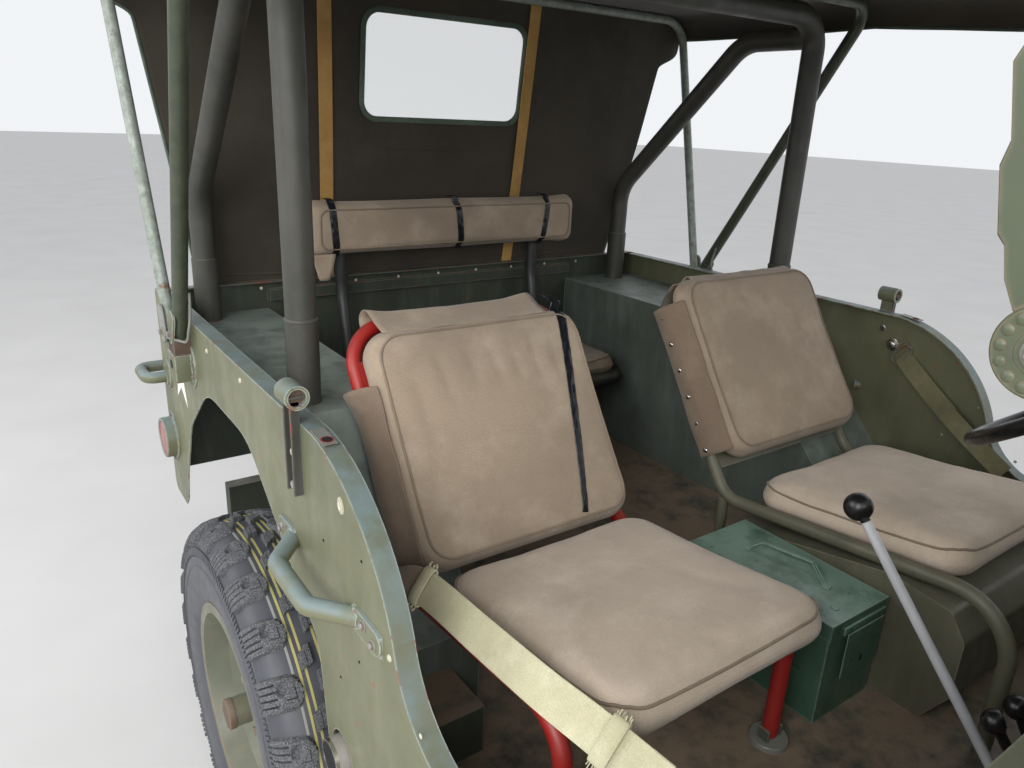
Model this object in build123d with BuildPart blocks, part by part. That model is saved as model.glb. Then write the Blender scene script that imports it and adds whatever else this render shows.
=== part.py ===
"""Light open army 4x4 car: ladder frame, live axles, steel tub, roll cage and canvas top."""

from build123d import *
import os
from math import cos, radians, sin

os.makedirs("parts", exist_ok=True)

# Millimetres. The car faces -Y, its left side is +X and the ground is z = 0.
# Overall and running gear
FRONT_OVERHANG = 523
WHEELBASE = 2032
REAR_OVERHANG = 799
TRACK = 1380
TYRE_RADIUS = 362
TYRE_WIDTH = 170
RIM_FLANGE_RADIUS = 208
RIM_WIDTH = 142
DRUM_RADIUS = 118
AXLE_TUBE_RADIUS = 38
SPINDLE_RADIUS = 22
RUNNING_GAP = 0.3
KINGPIN_OFFSET = 115
STEERING_BALL_RADIUS = 62
DIFFERENTIAL_X = -190
# Ladder frame
FRAME_HALF = 372
FRAME_RAIL_WIDTH = 45
FRAME_RAIL_HEIGHT = 100
FRAME_TOP = 505
# Tub
SHEET = 3
BODY_HALF = 709
FLOOR_TOP = 534
SIDE_TOP = 1040
SILL_TOP = 762
SIDE_BOTTOM = 470
REAR_PANEL_FROM_AXLE = 604
WHEEL_BOX_TOP = 971
WHEEL_BOX_INNER = 460
FLANGE = 28
COWL_TOP = 1010
DASH_FROM_AXLE = -1068
COWL_LENGTH = 237
COWL_FRONT_HALF = 600
# Front end
HOOD_LENGTH = 902
HOOD_DROP = 40
HOOD_SKIRT = 160
HOOD_FRONT_HALF = 500
FENDER_TOP = 815
FENDER_HALF = 780
GRILLE_BOTTOM = 560
LAMP_RADIUS = 88
# Windshield
SHIELD_HALF = 690
SHIELD_HEIGHT = 640
SHIELD_LEAN = 6
SHIELD_DEPTH = 30
# Roll cage and top
CAGE_HALF = 611
CAGE_RADIUS = 25
CAGE_TOP = 1672
HOOP_FROM_AXLE = -47
STAY_FROM_AXLE = 548
REAR_BOW_RADIUS = 11.5
FRONT_BOW_RADIUS = 14
BOW_TOP = 1723
BOW_PIVOT_FROM_AXLE = 322
BOW_PIVOT_Z = 980
CANVAS = 4
# Seats
SEAT_X = 340
SEAT_HALF = 211
SEAT_TUBE_RADIUS = 12.5
CUSHION_LENGTH = 392
CUSHION_WIDTH = 395
CUSHION_HEIGHT = 65
SEAT_TOP_FRONT = 840
SEAT_TOP_REAR = 795
BACK_HEIGHT = 395
BACK_LEAN = 33
# Stowage box, outer sizes
BOX_WIDTH = 155
BOX_LENGTH = 292
BOX_HEIGHT = 187
STEERING_WHEEL_RADIUS = 219

# Places that follow from the driving dimensions
LENGTH = FRONT_OVERHANG + WHEELBASE + REAR_OVERHANG
FRONT_END = -LENGTH / 2
REAR_END = LENGTH / 2
FRONT_AXLE_Y = FRONT_END + FRONT_OVERHANG
REAR_AXLE_Y = FRONT_AXLE_Y + WHEELBASE
AXLE_Z = TYRE_RADIUS
WHEEL_X = TRACK / 2
KINGPIN_X = WHEEL_X - KINGPIN_OFFSET
REAR_PANEL_Y = REAR_AXLE_Y + REAR_PANEL_FROM_AXLE
DASH_Y = REAR_AXLE_Y + DASH_FROM_AXLE
FIREWALL_Y = DASH_Y - COWL_LENGTH
GRILLE_Y = FIREWALL_Y - HOOD_LENGTH
BODY_INNER = BODY_HALF - SHEET
FLOOR_BOTTOM = FLOOR_TOP - SHEET
FRAME_BOTTOM = FRAME_TOP - FRAME_RAIL_HEIGHT
SIDES = (("left", 1), ("right", -1))


def block(x, y, z, mode=Mode.ADD):
    """A box between two x, two y and two z values, in the open part."""
    with Locations(((x[0] + x[1]) / 2, (y[0] + y[1]) / 2, (z[0] + z[1]) / 2)):
        Box(abs(x[1] - x[0]), abs(y[1] - y[0]), abs(z[1] - z[0]), mode=mode)


def rod(start, end, radius, mode=Mode.ADD):
    """A round bar from one point to another."""
    run = Vector(*end) - Vector(*start)
    with BuildSketch(Plane(origin=start, z_dir=run)) as section:
        Circle(radius)
    extrude(section.sketch, amount=run.length, mode=mode)


def tube(points, bend, radius, mode=Mode.ADD):
    """A round tube swept along a bent route."""
    with BuildLine() as route:
        FilletPolyline(*points, radius=bend)
    with BuildSketch(Plane(origin=route.line @ 0, z_dir=route.line % 0)) as section:
        Circle(radius)
    sweep(section.sketch, path=route.line, mode=mode)


def side_plate(x, points, thickness, mode=Mode.ADD):
    """A plate cut to (y, z) points, from x towards +X."""
    with BuildSketch(Plane.YZ.offset(x)) as outline:
        with BuildLine():
            Polyline(*points, close=True)
        make_face()
    extrude(outline.sketch, amount=thickness, mode=mode)


def turned(centre, points, mode=Mode.ADD):
    """A ring turned about the x axis through centre, from (x, radius) points."""
    profile_plane = Plane(origin=centre, x_dir=(1, 0, 0), z_dir=(0, -1, 0))
    with BuildSketch(profile_plane) as profile:
        with BuildLine():
            Polyline(*points, close=True)
        make_face()
    revolve(profile.sketch, axis=Axis(centre, (1, 0, 0)), mode=mode)


def save(part, name):
    """Label a finished piece and write it."""
    part.part.label = name
    export_step(part.part, f"parts/{name}.step")


# Ladder frame: two box rails, cross members, front bumper bar and rear bumperettes
BUMPER_THICKNESS = 40
BUMPER_HALF = 715
BUMPER_HEIGHT = 130
BUMPER_Z = 500
FRAME_REAR_Y = REAR_PANEL_Y + 25
BUMPERETTE_LENGTH = 300
BUMPERETTE_HEIGHT = 90
RAIL_FRONT_Y = FRONT_END + BUMPER_THICKNESS
RAIL_IN = FRAME_HALF - FRAME_RAIL_WIDTH

# Each row: y from the front axle, length along y, height
CROSS_MEMBERS = ((-330, 60, 80), (1150, 120, 40), (1780, 60, 80), (2590, 60, 90))

with BuildPart() as chassis_frame:
    for side in (1, -1):
        block((side * RAIL_IN, side * FRAME_HALF), (RAIL_FRONT_Y, FRAME_REAR_Y), (FRAME_BOTTOM, FRAME_TOP))
    for from_axle, length, height in CROSS_MEMBERS:
        y = FRONT_AXLE_Y + from_axle
        block((-RAIL_IN, RAIL_IN), (y, y + length), (FRAME_TOP - height, FRAME_TOP))
    with BuildSketch(Plane.XZ.offset(-RAIL_FRONT_Y)) as bumper_face:
        with Locations((0, BUMPER_Z)):
            RectangleRounded(2 * BUMPER_HALF, BUMPER_HEIGHT, 25)
    extrude(bumper_face.sketch, amount=BUMPER_THICKNESS)
    for side in (1, -1):
        middle = side * (FRAME_HALF + 60)
        block(
            (middle - BUMPERETTE_LENGTH / 2, middle + BUMPERETTE_LENGTH / 2),
            (FRAME_REAR_Y, FRAME_REAR_Y + 38),
            (FRAME_TOP - BUMPERETTE_HEIGHT, FRAME_TOP),
        )
    rod((0, FRAME_REAR_Y - 60, FRAME_TOP - 45), (0, FRAME_REAR_Y + 60, FRAME_TOP - 45), 26)
    block((-60, 60), (FRAME_REAR_Y - 30, FRAME_REAR_Y + 12), (FRAME_TOP - 95, FRAME_TOP))

# Leaf springs under the axles, hung from the rails by shackles
SPRING_X = FRAME_HALF - FRAME_RAIL_WIDTH / 2
SPRING_WIDTH = 44
SPRING_HALF = 470
LEAF = 8
SPRING_Z = AXLE_Z - AXLE_TUBE_RADIUS
LEAF_HALVES = (SPRING_HALF, 380, 290, 200)
SHACKLE_RADIUS = 16

with chassis_frame:
    for side in (1, -1):
        for axle_y in (FRONT_AXLE_Y, REAR_AXLE_Y):
            x = side * SPRING_X
            for number, half in enumerate(LEAF_HALVES):
                top = SPRING_Z - number * LEAF
                block(
                    (x - SPRING_WIDTH / 2, x + SPRING_WIDTH / 2),
                    (axle_y - half, axle_y + half),
                    (top - LEAF, top),
                )
            for end in (-1, 1):
                y = axle_y + end * (SPRING_HALF - SHACKLE_RADIUS)
                block(
                    (x - SPRING_WIDTH / 2, x + SPRING_WIDTH / 2),
                    (y - SHACKLE_RADIUS, y + SHACKLE_RADIUS),
                    (SPRING_Z, FRAME_BOTTOM),
                )
save(chassis_frame, "chassis_frame")

# Axles, with the differential housing to the right of the middle
PLATE_GAP = 5
DRUM_INNER_X = -57
PLATE_X = DRUM_INNER_X - PLATE_GAP
PLATE_THICKNESS = 4
SPINDLE_END_X = 46
HOUSING_RADIUS = 120


def housing(y):
    """The ball-shaped differential housing."""
    with Locations((DIFFERENTIAL_X, y, AXLE_Z)):
        Sphere(HOUSING_RADIUS, rotation=(0, 90, 0))


def pinion(y, towards):
    """The pinion nose that meets the propeller shaft."""
    start = (DIFFERENTIAL_X, y, AXLE_Z)
    rod(start, (DIFFERENTIAL_X, y + towards * PINION_LENGTH, AXLE_Z), PINION_RADIUS)


PINION_LENGTH = 210
PINION_RADIUS = 42
TUBE_END_REAR = WHEEL_X + PLATE_X - PLATE_THICKNESS

with BuildPart() as rear_axle:
    rod((-TUBE_END_REAR, REAR_AXLE_Y, AXLE_Z), (TUBE_END_REAR, REAR_AXLE_Y, AXLE_Z), AXLE_TUBE_RADIUS)
    housing(REAR_AXLE_Y)
    pinion(REAR_AXLE_Y, -1)
    for side in (1, -1):
        inner = side * TUBE_END_REAR
        outer = side * (TUBE_END_REAR + PLATE_THICKNESS)
        rod((inner, REAR_AXLE_Y, AXLE_Z), (outer, REAR_AXLE_Y, AXLE_Z), DRUM_RADIUS)
        tip = side * (WHEEL_X + SPINDLE_END_X)
        rod((outer, REAR_AXLE_Y, AXLE_Z), (tip, REAR_AXLE_Y, AXLE_Z), SPINDLE_RADIUS)
save(rear_axle, "rear_axle")

with BuildPart() as front_axle:
    rod((-KINGPIN_X, FRONT_AXLE_Y, AXLE_Z), (KINGPIN_X, FRONT_AXLE_Y, AXLE_Z), AXLE_TUBE_RADIUS)
    housing(FRONT_AXLE_Y)
    pinion(FRONT_AXLE_Y, 1)
    for side in (1, -1):
        with Locations((side * KINGPIN_X, FRONT_AXLE_Y, AXLE_Z)):
            Sphere(STEERING_BALL_RADIUS, rotation=(0, 90, 0))
save(front_axle, "front_axle")

# Steering knuckles: a socket round the ball, brake plate, spindle and steering arm
SOCKET_RADIUS = 80
BALL_GAP = 0.5
ARM_LENGTH = 140
ARM_Z = AXLE_Z - 25
ARM_THICKNESS = 16
ARM_TIP_RADIUS = 20
ARM_X_IN = 0
SOCKET_MOUTH = 12
MOUTH_HALF = 46
TIE_ROD_RADIUS = 13

KNUCKLE_CENTRE = (-KINGPIN_X, FRONT_AXLE_Y, AXLE_Z)
ARM_TIP_X = -KINGPIN_X + ARM_X_IN
ARM_TIP_Y = FRONT_AXLE_Y - ARM_LENGTH

with BuildPart() as knuckle_right:
    with Locations(KNUCKLE_CENTRE):
        Sphere(SOCKET_RADIUS, rotation=(0, 90, 0))
    plate_in = -WHEEL_X - PLATE_X + PLATE_THICKNESS
    plate_out = -WHEEL_X - PLATE_X
    spindle_tip = -WHEEL_X - SPINDLE_END_X
    rod((plate_in, FRONT_AXLE_Y, AXLE_Z), (plate_out, FRONT_AXLE_Y, AXLE_Z), DRUM_RADIUS)
    rod((plate_out, FRONT_AXLE_Y, AXLE_Z), (spindle_tip, FRONT_AXLE_Y, AXLE_Z), SPINDLE_RADIUS)
    reach = SOCKET_RADIUS + PLATE_GAP
    block(
        (-KINGPIN_X + SOCKET_MOUTH, -KINGPIN_X + reach),
        (FRONT_AXLE_Y - reach, FRONT_AXLE_Y + reach),
        (AXLE_Z - MOUTH_HALF, AXLE_Z + MOUTH_HALF),
        mode=Mode.SUBTRACT,
    )
    with BuildSketch(Plane.XY.offset(ARM_Z - ARM_THICKNESS)) as arm:
        with BuildLine():
            Polyline(
                (-KINGPIN_X - 24, FRONT_AXLE_Y),
                (ARM_TIP_X - 14, ARM_TIP_Y),
                (ARM_TIP_X + 14, ARM_TIP_Y),
                (-KINGPIN_X + 4, FRONT_AXLE_Y),
                close=True,
            )
        make_face()
        with Locations((ARM_TIP_X, ARM_TIP_Y)):
            Circle(ARM_TIP_RADIUS)
    extrude(arm.sketch, amount=ARM_THICKNESS)
    with Locations(KNUCKLE_CENTRE):
        Sphere(STEERING_BALL_RADIUS + BALL_GAP, rotation=(0, 90, 0), mode=Mode.SUBTRACT)
save(knuckle_right, "knuckle_right")

with BuildPart() as knuckle_left:
    add(mirror(knuckle_right.part, about=Plane.YZ))
save(knuckle_left, "knuckle_left")

# Tie rod lying on the tips of the two steering arms
TIE_EYE_RADIUS = 18
TIE_Z = ARM_Z + RUNNING_GAP
TIE_HALF = KINGPIN_X - ARM_X_IN
TIE_Y = ARM_TIP_Y

with BuildPart() as tie_rod:
    rod((-TIE_HALF, TIE_Y, TIE_Z + TIE_ROD_RADIUS), (TIE_HALF, TIE_Y, TIE_Z + TIE_ROD_RADIUS), TIE_ROD_RADIUS)
    for side in (1, -1):
        rod((side * TIE_HALF, TIE_Y, TIE_Z), (side * TIE_HALF, TIE_Y, TIE_Z + 30), TIE_EYE_RADIUS)
save(tie_rod, "tie_rod")

# Wheels: x is measured outboard from the middle of the tyre
BEAD_RADIUS = 192
TREAD_HALF = 66
SIDEWALL_RADIUS = 296
SHOULDER_RADIUS = 346
HALF_TYRE = TYRE_WIDTH / 2
HALF_RIM = RIM_WIDTH / 2
RIM_WELL_RADIUS = 176
DISC_X = 8
DISC_THICKNESS = 6
HUB_RADIUS = 27
HUB_END_X = 84
DRUM_WALL = 8

TYRE_PROFILE = (
    (-HALF_RIM, BEAD_RADIUS),
    (-HALF_RIM, RIM_FLANGE_RADIUS),
    (-HALF_TYRE + 4, 252),
    (-HALF_TYRE, SIDEWALL_RADIUS),
    (-HALF_TYRE + 6, SHOULDER_RADIUS),
    (-TREAD_HALF, TYRE_RADIUS),
    (TREAD_HALF, TYRE_RADIUS),
    (HALF_TYRE - 6, SHOULDER_RADIUS),
    (HALF_TYRE, SIDEWALL_RADIUS),
    (HALF_TYRE - 4, 252),
    (HALF_RIM, RIM_FLANGE_RADIUS),
    (HALF_RIM, BEAD_RADIUS),
)
RIM_PROFILE = (
    (-HALF_RIM, BEAD_RADIUS),
    (-HALF_RIM, RIM_FLANGE_RADIUS),
    (-HALF_RIM - 4, RIM_FLANGE_RADIUS),
    (-HALF_RIM - 4, BEAD_RADIUS - 4),
    (-30, RIM_WELL_RADIUS - 4),
    (DISC_X - DISC_THICKNESS, RIM_WELL_RADIUS - 4),
    (DISC_X - DISC_THICKNESS, DRUM_RADIUS),
    (DRUM_INNER_X, DRUM_RADIUS),
    (DRUM_INNER_X, DRUM_RADIUS - DRUM_WALL),
    (DISC_X - DISC_THICKNESS - DRUM_WALL, DRUM_RADIUS - DRUM_WALL),
    (DISC_X - DISC_THICKNESS - DRUM_WALL, SPINDLE_RADIUS + RUNNING_GAP),
    (SPINDLE_END_X + RUNNING_GAP, SPINDLE_RADIUS + RUNNING_GAP),
    (SPINDLE_END_X + RUNNING_GAP, 0),
    (HUB_END_X, 0),
    (HUB_END_X, HUB_RADIUS - 8),
    (HUB_END_X - 8, HUB_RADIUS),
    (DISC_X + 22, HUB_RADIUS),
    (DISC_X + 22, 68),
    (DISC_X + 12, 72),
    (DISC_X, 105),
    (DISC_X, 150),
    (DISC_X + 22, RIM_WELL_RADIUS - 4),
    (HALF_RIM + 4, BEAD_RADIUS - 4),
    (HALF_RIM + 4, RIM_FLANGE_RADIUS),
    (HALF_RIM, RIM_FLANGE_RADIUS),
    (HALF_RIM, BEAD_RADIUS),
    (30, RIM_WELL_RADIUS),
    (-30, RIM_WELL_RADIUS),
)


def outboard(points, side):
    """Turn outboard distances into x distances on one side of the car."""
    return [(side * x, radius) for x, radius in points]


WHEELS = (
    ("front_left", 1, FRONT_AXLE_Y),
    ("front_right", -1, FRONT_AXLE_Y),
    ("rear_left", 1, REAR_AXLE_Y),
    ("rear_right", -1, REAR_AXLE_Y),
)
for place, side, axle_y in WHEELS:
    centre = (side * WHEEL_X, axle_y, AXLE_Z)
    with BuildPart() as tyre:
        turned(centre, outboard(TYRE_PROFILE, side))
    save(tyre, f"tyre_{place}")
    with BuildPart() as rim:
        turned(centre, outboard(RIM_PROFILE, side))
    save(rim, f"rim_{place}")

# Spare wheel behind the rear panel, its axis along Y
SPARE_X = -250
SPARE_Z = 882
SPARE_MOUNT_RADIUS = 60
SPARE_Y = REAR_END - HALF_TYRE
SPARE_PLANE = Plane(origin=(SPARE_X, SPARE_Y, SPARE_Z), x_dir=(0, 1, 0), z_dir=(1, 0, 0))
SPARE_RIM_PROFILE = (
    (-HALF_RIM - 4, RIM_FLANGE_RADIUS),
    (-HALF_RIM - 4, BEAD_RADIUS - 4),
    (-30, RIM_WELL_RADIUS - 4),
    (DISC_X - DISC_THICKNESS, RIM_WELL_RADIUS - 4),
    (DISC_X - DISC_THICKNESS, 35),
    (DISC_X, 35),
    (DISC_X, 150),
    (DISC_X + 22, RIM_WELL_RADIUS - 4),
    (HALF_RIM + 4, BEAD_RADIUS - 4),
    (HALF_RIM + 4, RIM_FLANGE_RADIUS),
    (HALF_RIM, RIM_FLANGE_RADIUS),
    (HALF_RIM, BEAD_RADIUS),
    (30, RIM_WELL_RADIUS),
    (-30, RIM_WELL_RADIUS),
    (-HALF_RIM, BEAD_RADIUS),
    (-HALF_RIM, RIM_FLANGE_RADIUS),
)

with BuildPart() as spare_tyre:
    with BuildSketch(SPARE_PLANE) as spare_section:
        with BuildLine():
            Polyline(*TYRE_PROFILE, close=True)
        make_face()
    revolve(spare_section.sketch, axis=Axis((SPARE_X, SPARE_Y, SPARE_Z), (0, 1, 0)))
save(spare_tyre, "spare_tyre")

with BuildPart() as spare_rim:
    with BuildSketch(SPARE_PLANE) as spare_section:
        with BuildLine():
            Polyline(*SPARE_RIM_PROFILE, close=True)
        make_face()
    revolve(spare_section.sketch, axis=Axis((SPARE_X, SPARE_Y, SPARE_Z), (0, 1, 0)))
save(spare_rim, "spare_rim")

# Wheel boxes: outer outline of each box as (y, z)
BOX_FOOT_FROM_AXLE = -368
BOX_HIP_FROM_AXLE = -268
BOX_SHOULDER_FROM_AXLE = -108
BOX_KNEE_Z = 670
BOX_HIP_Z = 775
BOX_FOOT_Y = REAR_AXLE_Y + BOX_FOOT_FROM_AXLE
BOX_HIP_Y = REAR_AXLE_Y + BOX_HIP_FROM_AXLE
BOX_SHOULDER_Y = REAR_AXLE_Y + BOX_SHOULDER_FROM_AXLE
PANEL_INNER_Y = REAR_PANEL_Y - SHEET

BOX_OUTLINE = (
    (BOX_FOOT_Y, FLOOR_BOTTOM),
    (BOX_FOOT_Y, BOX_KNEE_Z),
    (BOX_HIP_Y, BOX_HIP_Z),
    (BOX_SHOULDER_Y, WHEEL_BOX_TOP),
    (PANEL_INNER_Y, WHEEL_BOX_TOP),
    (PANEL_INNER_Y, FLOOR_BOTTOM),
)

with BuildPart() as wheel_boxes:
    inner_outline = (
        (BOX_FOOT_Y + SHEET, FLOOR_BOTTOM - 1),
        (BOX_FOOT_Y + SHEET, BOX_KNEE_Z - 1),
        (BOX_HIP_Y + SHEET, BOX_HIP_Z - 1),
        (BOX_SHOULDER_Y + 2, WHEEL_BOX_TOP - SHEET),
        (PANEL_INNER_Y + 1, WHEEL_BOX_TOP - SHEET),
        (PANEL_INNER_Y + 1, FLOOR_BOTTOM - 1),
    )
    width = BODY_INNER - WHEEL_BOX_INNER
    side_plate(WHEEL_BOX_INNER, BOX_OUTLINE, width)
    side_plate(WHEEL_BOX_INNER + SHEET, inner_outline, width, mode=Mode.SUBTRACT)
    side_plate(-BODY_INNER, BOX_OUTLINE, width)
    side_plate(-BODY_INNER - SHEET, inner_outline, width, mode=Mode.SUBTRACT)
save(wheel_boxes, "wheel_boxes")

# Floor on cross sills that stand on the frame, narrowed between the wheel boxes
SILL_WIDTH = 60
CROSS_SILLS_FROM_AXLE = (-960, -600, -300, 200, 540)
FOOT_RADIUS = 28
FOOT_THICKNESS = 4
PIVOT_Z = FLOOR_TOP + 18
PIVOT_RADIUS = 5
PIVOT_LEG_FROM_AXLE = -688
LUG = 4
HUMP_LENGTH = 100
HUMP_X = 515
HUMP_TOP = 616

with BuildPart() as tub_floor:
    block((-BODY_INNER, BODY_INNER), (DASH_Y, BOX_FOOT_Y), (FLOOR_BOTTOM, FLOOR_TOP))
    block((-WHEEL_BOX_INNER, WHEEL_BOX_INNER), (BOX_FOOT_Y, PANEL_INNER_Y), (FLOOR_BOTTOM, FLOOR_TOP))
    for from_axle in CROSS_SILLS_FROM_AXLE:
        y = REAR_AXLE_Y + from_axle
        block((-FRAME_HALF, FRAME_HALF), (y - SILL_WIDTH / 2, y + SILL_WIDTH / 2), (FRAME_TOP, FLOOR_BOTTOM))
    pivot_y = REAR_AXLE_Y + PIVOT_LEG_FROM_AXLE
    for x in (-SEAT_X - SEAT_HALF, -SEAT_X + SEAT_HALF):
        rod((x, pivot_y, FLOOR_TOP), (x, pivot_y, FLOOR_TOP + FOOT_THICKNESS), FOOT_RADIUS)
        lug_x = SEAT_TUBE_RADIUS + RUNNING_GAP
        for lug_side in (1, -1):
            lug = sorted((x + lug_side * lug_x, x + lug_side * (lug_x + LUG)))
            block(lug, (pivot_y - 10, pivot_y + 10), (FLOOR_TOP, PIVOT_Z + 10))
        rod((x - lug_x, pivot_y, PIVOT_Z), (x + lug_x, pivot_y, PIVOT_Z), PIVOT_RADIUS)
    hump = (BOX_FOOT_Y - HUMP_LENGTH, BOX_FOOT_Y)
    block((-BODY_INNER, -HUMP_X), hump, (FLOOR_BOTTOM, HUMP_TOP))
    hollow = (hump[0] + SHEET, hump[1] - SHEET)
    block((-BODY_INNER - 1, -HUMP_X - SHEET), hollow, (FLOOR_BOTTOM - 1, HUMP_TOP - SHEET), mode=Mode.SUBTRACT)
save(tub_floor, "tub_floor")

# Side panels: an S-curved front opening, a wheel arch and a lip turned in along the edges
ARCH_FOOT_FROM_AXLE = -368
TAIL_FOOT = 553
PIPE_HOLE_FROM_AXLE = -402
PIPE_HOLE_Z = 577
PIPE_HOLE_RADIUS = 33
DOOR_CORNER = 120
HANDLE_RADIUS = 11


def from_axle(points):
    """Turn distances behind the rear axle into y."""
    return [(REAR_AXLE_Y + y, z) for y, z in points]


def side_outline():
    """The side panel's outline as a face in the (y, z) plane."""
    with BuildSketch() as face:
        with BuildLine():
            top = from_axle(((REAR_PANEL_FROM_AXLE, SIDE_TOP), (-338, SIDE_TOP)))
            Line(*top)
            ThreePointArc(top[1], *from_axle(((-484, 979), (-566, 865))))
            ThreePointArc(*from_axle(((-566, 865), (-602, 800), (-668, SILL_TOP))))
            sill = from_axle(((-668, SILL_TOP), (DASH_FROM_AXLE + DOOR_CORNER, SILL_TOP)))
            Line(*sill)
            arc_end = (DASH_Y, SILL_TOP + DOOR_CORNER)
            short = DOOR_CORNER * (1 - cos(radians(45)))
            ThreePointArc(sill[1], (DASH_Y + short, SILL_TOP + short), arc_end)
            Polyline(
                arc_end,
                (DASH_Y, SIDE_BOTTOM),
                *from_axle(
                    (
                        (ARCH_FOOT_FROM_AXLE, SIDE_BOTTOM),
                        (-328, 715),
                        (-38, 922),
                        (205, 922),
                        (372, 795),
                        (452, 650),
                        (480, 575),
                        (500, TAIL_FOOT),
                        (REAR_PANEL_FROM_AXLE, TAIL_FOOT),
                        (REAR_PANEL_FROM_AXLE, SIDE_TOP),
                    )
                ),
            )
        make_face()
        corners = face.vertices()
        for from_rear_axle, z, radius in (
            (-328, 715, 60),
            (-38, 922, 150),
            (205, 922, 170),
            (372, 795, 150),
            (452, 650, 120),
            (REAR_PANEL_FROM_AXLE, TAIL_FOOT, 28),
        ):
            corner = corners.sort_by_distance((REAR_AXLE_Y + from_rear_axle, z))[0]
            fillet(corner, radius)
            corners = face.vertices()
    return face.sketch


SIDE_FACE = side_outline()


HANDLE_REACH = 44
HANDLE_SLANT = 55
PLATE_THICKNESS = 3
PLATE_HALF = 14
PLATE_LENGTH = 68
FRONT_HANDLE = (-470, -246)
FRONT_HANDLE_Z = 845
REAR_HANDLE_Z = 848
REAR_HANDLE_FROM_AXLE = 560
REAR_HANDLE_X = BODY_HALF - 37
CLAMP_FROM_AXLE = -285
CLAMP_TOP = 1078
CLAMP_RADIUS = 16
CLAMP_STRIP = 142
CLAMP_STRIP_HALF = 14


def fittings(side):
    """Grab handles and the clamp that stands on a slotted strip, on the open side panel."""
    inner = side * (BODY_HALF - 1)
    out = side * (BODY_HALF + HANDLE_REACH)
    front, rear = (REAR_AXLE_Y + y for y in FRONT_HANDLE)
    tube(
        (
            (inner, front, FRONT_HANDLE_Z),
            (out, front + HANDLE_SLANT, FRONT_HANDLE_Z),
            (out, rear - HANDLE_SLANT, FRONT_HANDLE_Z),
            (inner, rear, FRONT_HANDLE_Z),
        ),
        26,
        HANDLE_RADIUS,
    )
    plate_x = sorted((inner, side * (BODY_HALF + PLATE_THICKNESS)))
    plate_z = (FRONT_HANDLE_Z - PLATE_HALF, FRONT_HANDLE_Z + PLATE_HALF)
    block(plate_x, (front - PLATE_LENGTH, front + HANDLE_RADIUS), plate_z)
    block(plate_x, (rear - HANDLE_RADIUS, rear + PLATE_LENGTH / 2), plate_z)
    start = REAR_AXLE_Y + REAR_HANDLE_FROM_AXLE
    tube(
        (
            (inner, start, REAR_HANDLE_Z),
            (out, start, REAR_HANDLE_Z),
            (out, REAR_PANEL_Y + HANDLE_REACH, REAR_HANDLE_Z),
            (side * REAR_HANDLE_X, REAR_PANEL_Y + HANDLE_REACH, REAR_HANDLE_Z),
            (side * REAR_HANDLE_X, REAR_PANEL_Y, REAR_HANDLE_Z),
        ),
        22,
        HANDLE_RADIUS,
    )
    clamp_y = REAR_AXLE_Y + CLAMP_FROM_AXLE
    strip_x = sorted((side * BODY_HALF, side * (BODY_HALF + 4)))
    strip_y = (clamp_y - CLAMP_STRIP_HALF, clamp_y + CLAMP_STRIP_HALF)
    block(strip_x, strip_y, (CLAMP_TOP - CLAMP_STRIP, CLAMP_TOP))
    clamp_x = side * (BODY_HALF + 4)
    rod((clamp_x, clamp_y - 20, CLAMP_TOP), (clamp_x, clamp_y + 20, CLAMP_TOP), CLAMP_RADIUS)
    rod((clamp_x, clamp_y - 21, CLAMP_TOP), (clamp_x, clamp_y + 21, CLAMP_TOP), CLAMP_RADIUS - 4, mode=Mode.SUBTRACT)
    if side < 0:
        hole_y = REAR_AXLE_Y + PIPE_HOLE_FROM_AXLE
        start = (side * (BODY_HALF + 1), hole_y, PIPE_HOLE_Z)
        rod(start, (side * (BODY_INNER - 1), hole_y, PIPE_HOLE_Z), PIPE_HOLE_RADIUS, mode=Mode.SUBTRACT)


def side_panel(side):
    """One side panel with its lip, its handles and the clamps for the top."""
    plane = Plane.YZ.offset(side * BODY_INNER)
    sheet = plane * SIDE_FACE
    lip_plane = Plane.YZ.offset(side * (BODY_HALF - FLANGE))
    rim = SIDE_FACE - offset(SIDE_FACE, -SHEET, kind=Kind.INTERSECTION)
    with BuildPart() as panel:
        extrude(sheet, amount=SHEET, dir=(side, 0, 0))
        extrude(lip_plane * rim, amount=FLANGE - SHEET, dir=(side, 0, 0))
        lip = sorted((side * (BODY_HALF - FLANGE - 1), side * BODY_INNER))
        block(lip, (PANEL_INNER_Y - 40, REAR_PANEL_Y), (SIDE_BOTTOM, SIDE_TOP), mode=Mode.SUBTRACT)
        block(lip, (DASH_Y, DASH_Y + 5), (SIDE_BOTTOM - 1, SIDE_TOP), mode=Mode.SUBTRACT)
        block(lip, (DASH_Y, REAR_AXLE_Y), (SIDE_BOTTOM - 1, FLOOR_TOP + 1), mode=Mode.SUBTRACT)
        block(lip, (BOX_FOOT_Y - 1, REAR_PANEL_Y), (SIDE_BOTTOM - 1, WHEEL_BOX_TOP + 1), mode=Mode.SUBTRACT)
        fittings(side)
    return panel


for name, side in SIDES:
    panel = side_panel(side)
    save(panel, f"side_panel_{name}")

# Rear panel with a lip and stiffening rails
RAIL_DEPTH = 14
TAIL_BOTTOM = 600
REAR_LIP = 22

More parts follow.
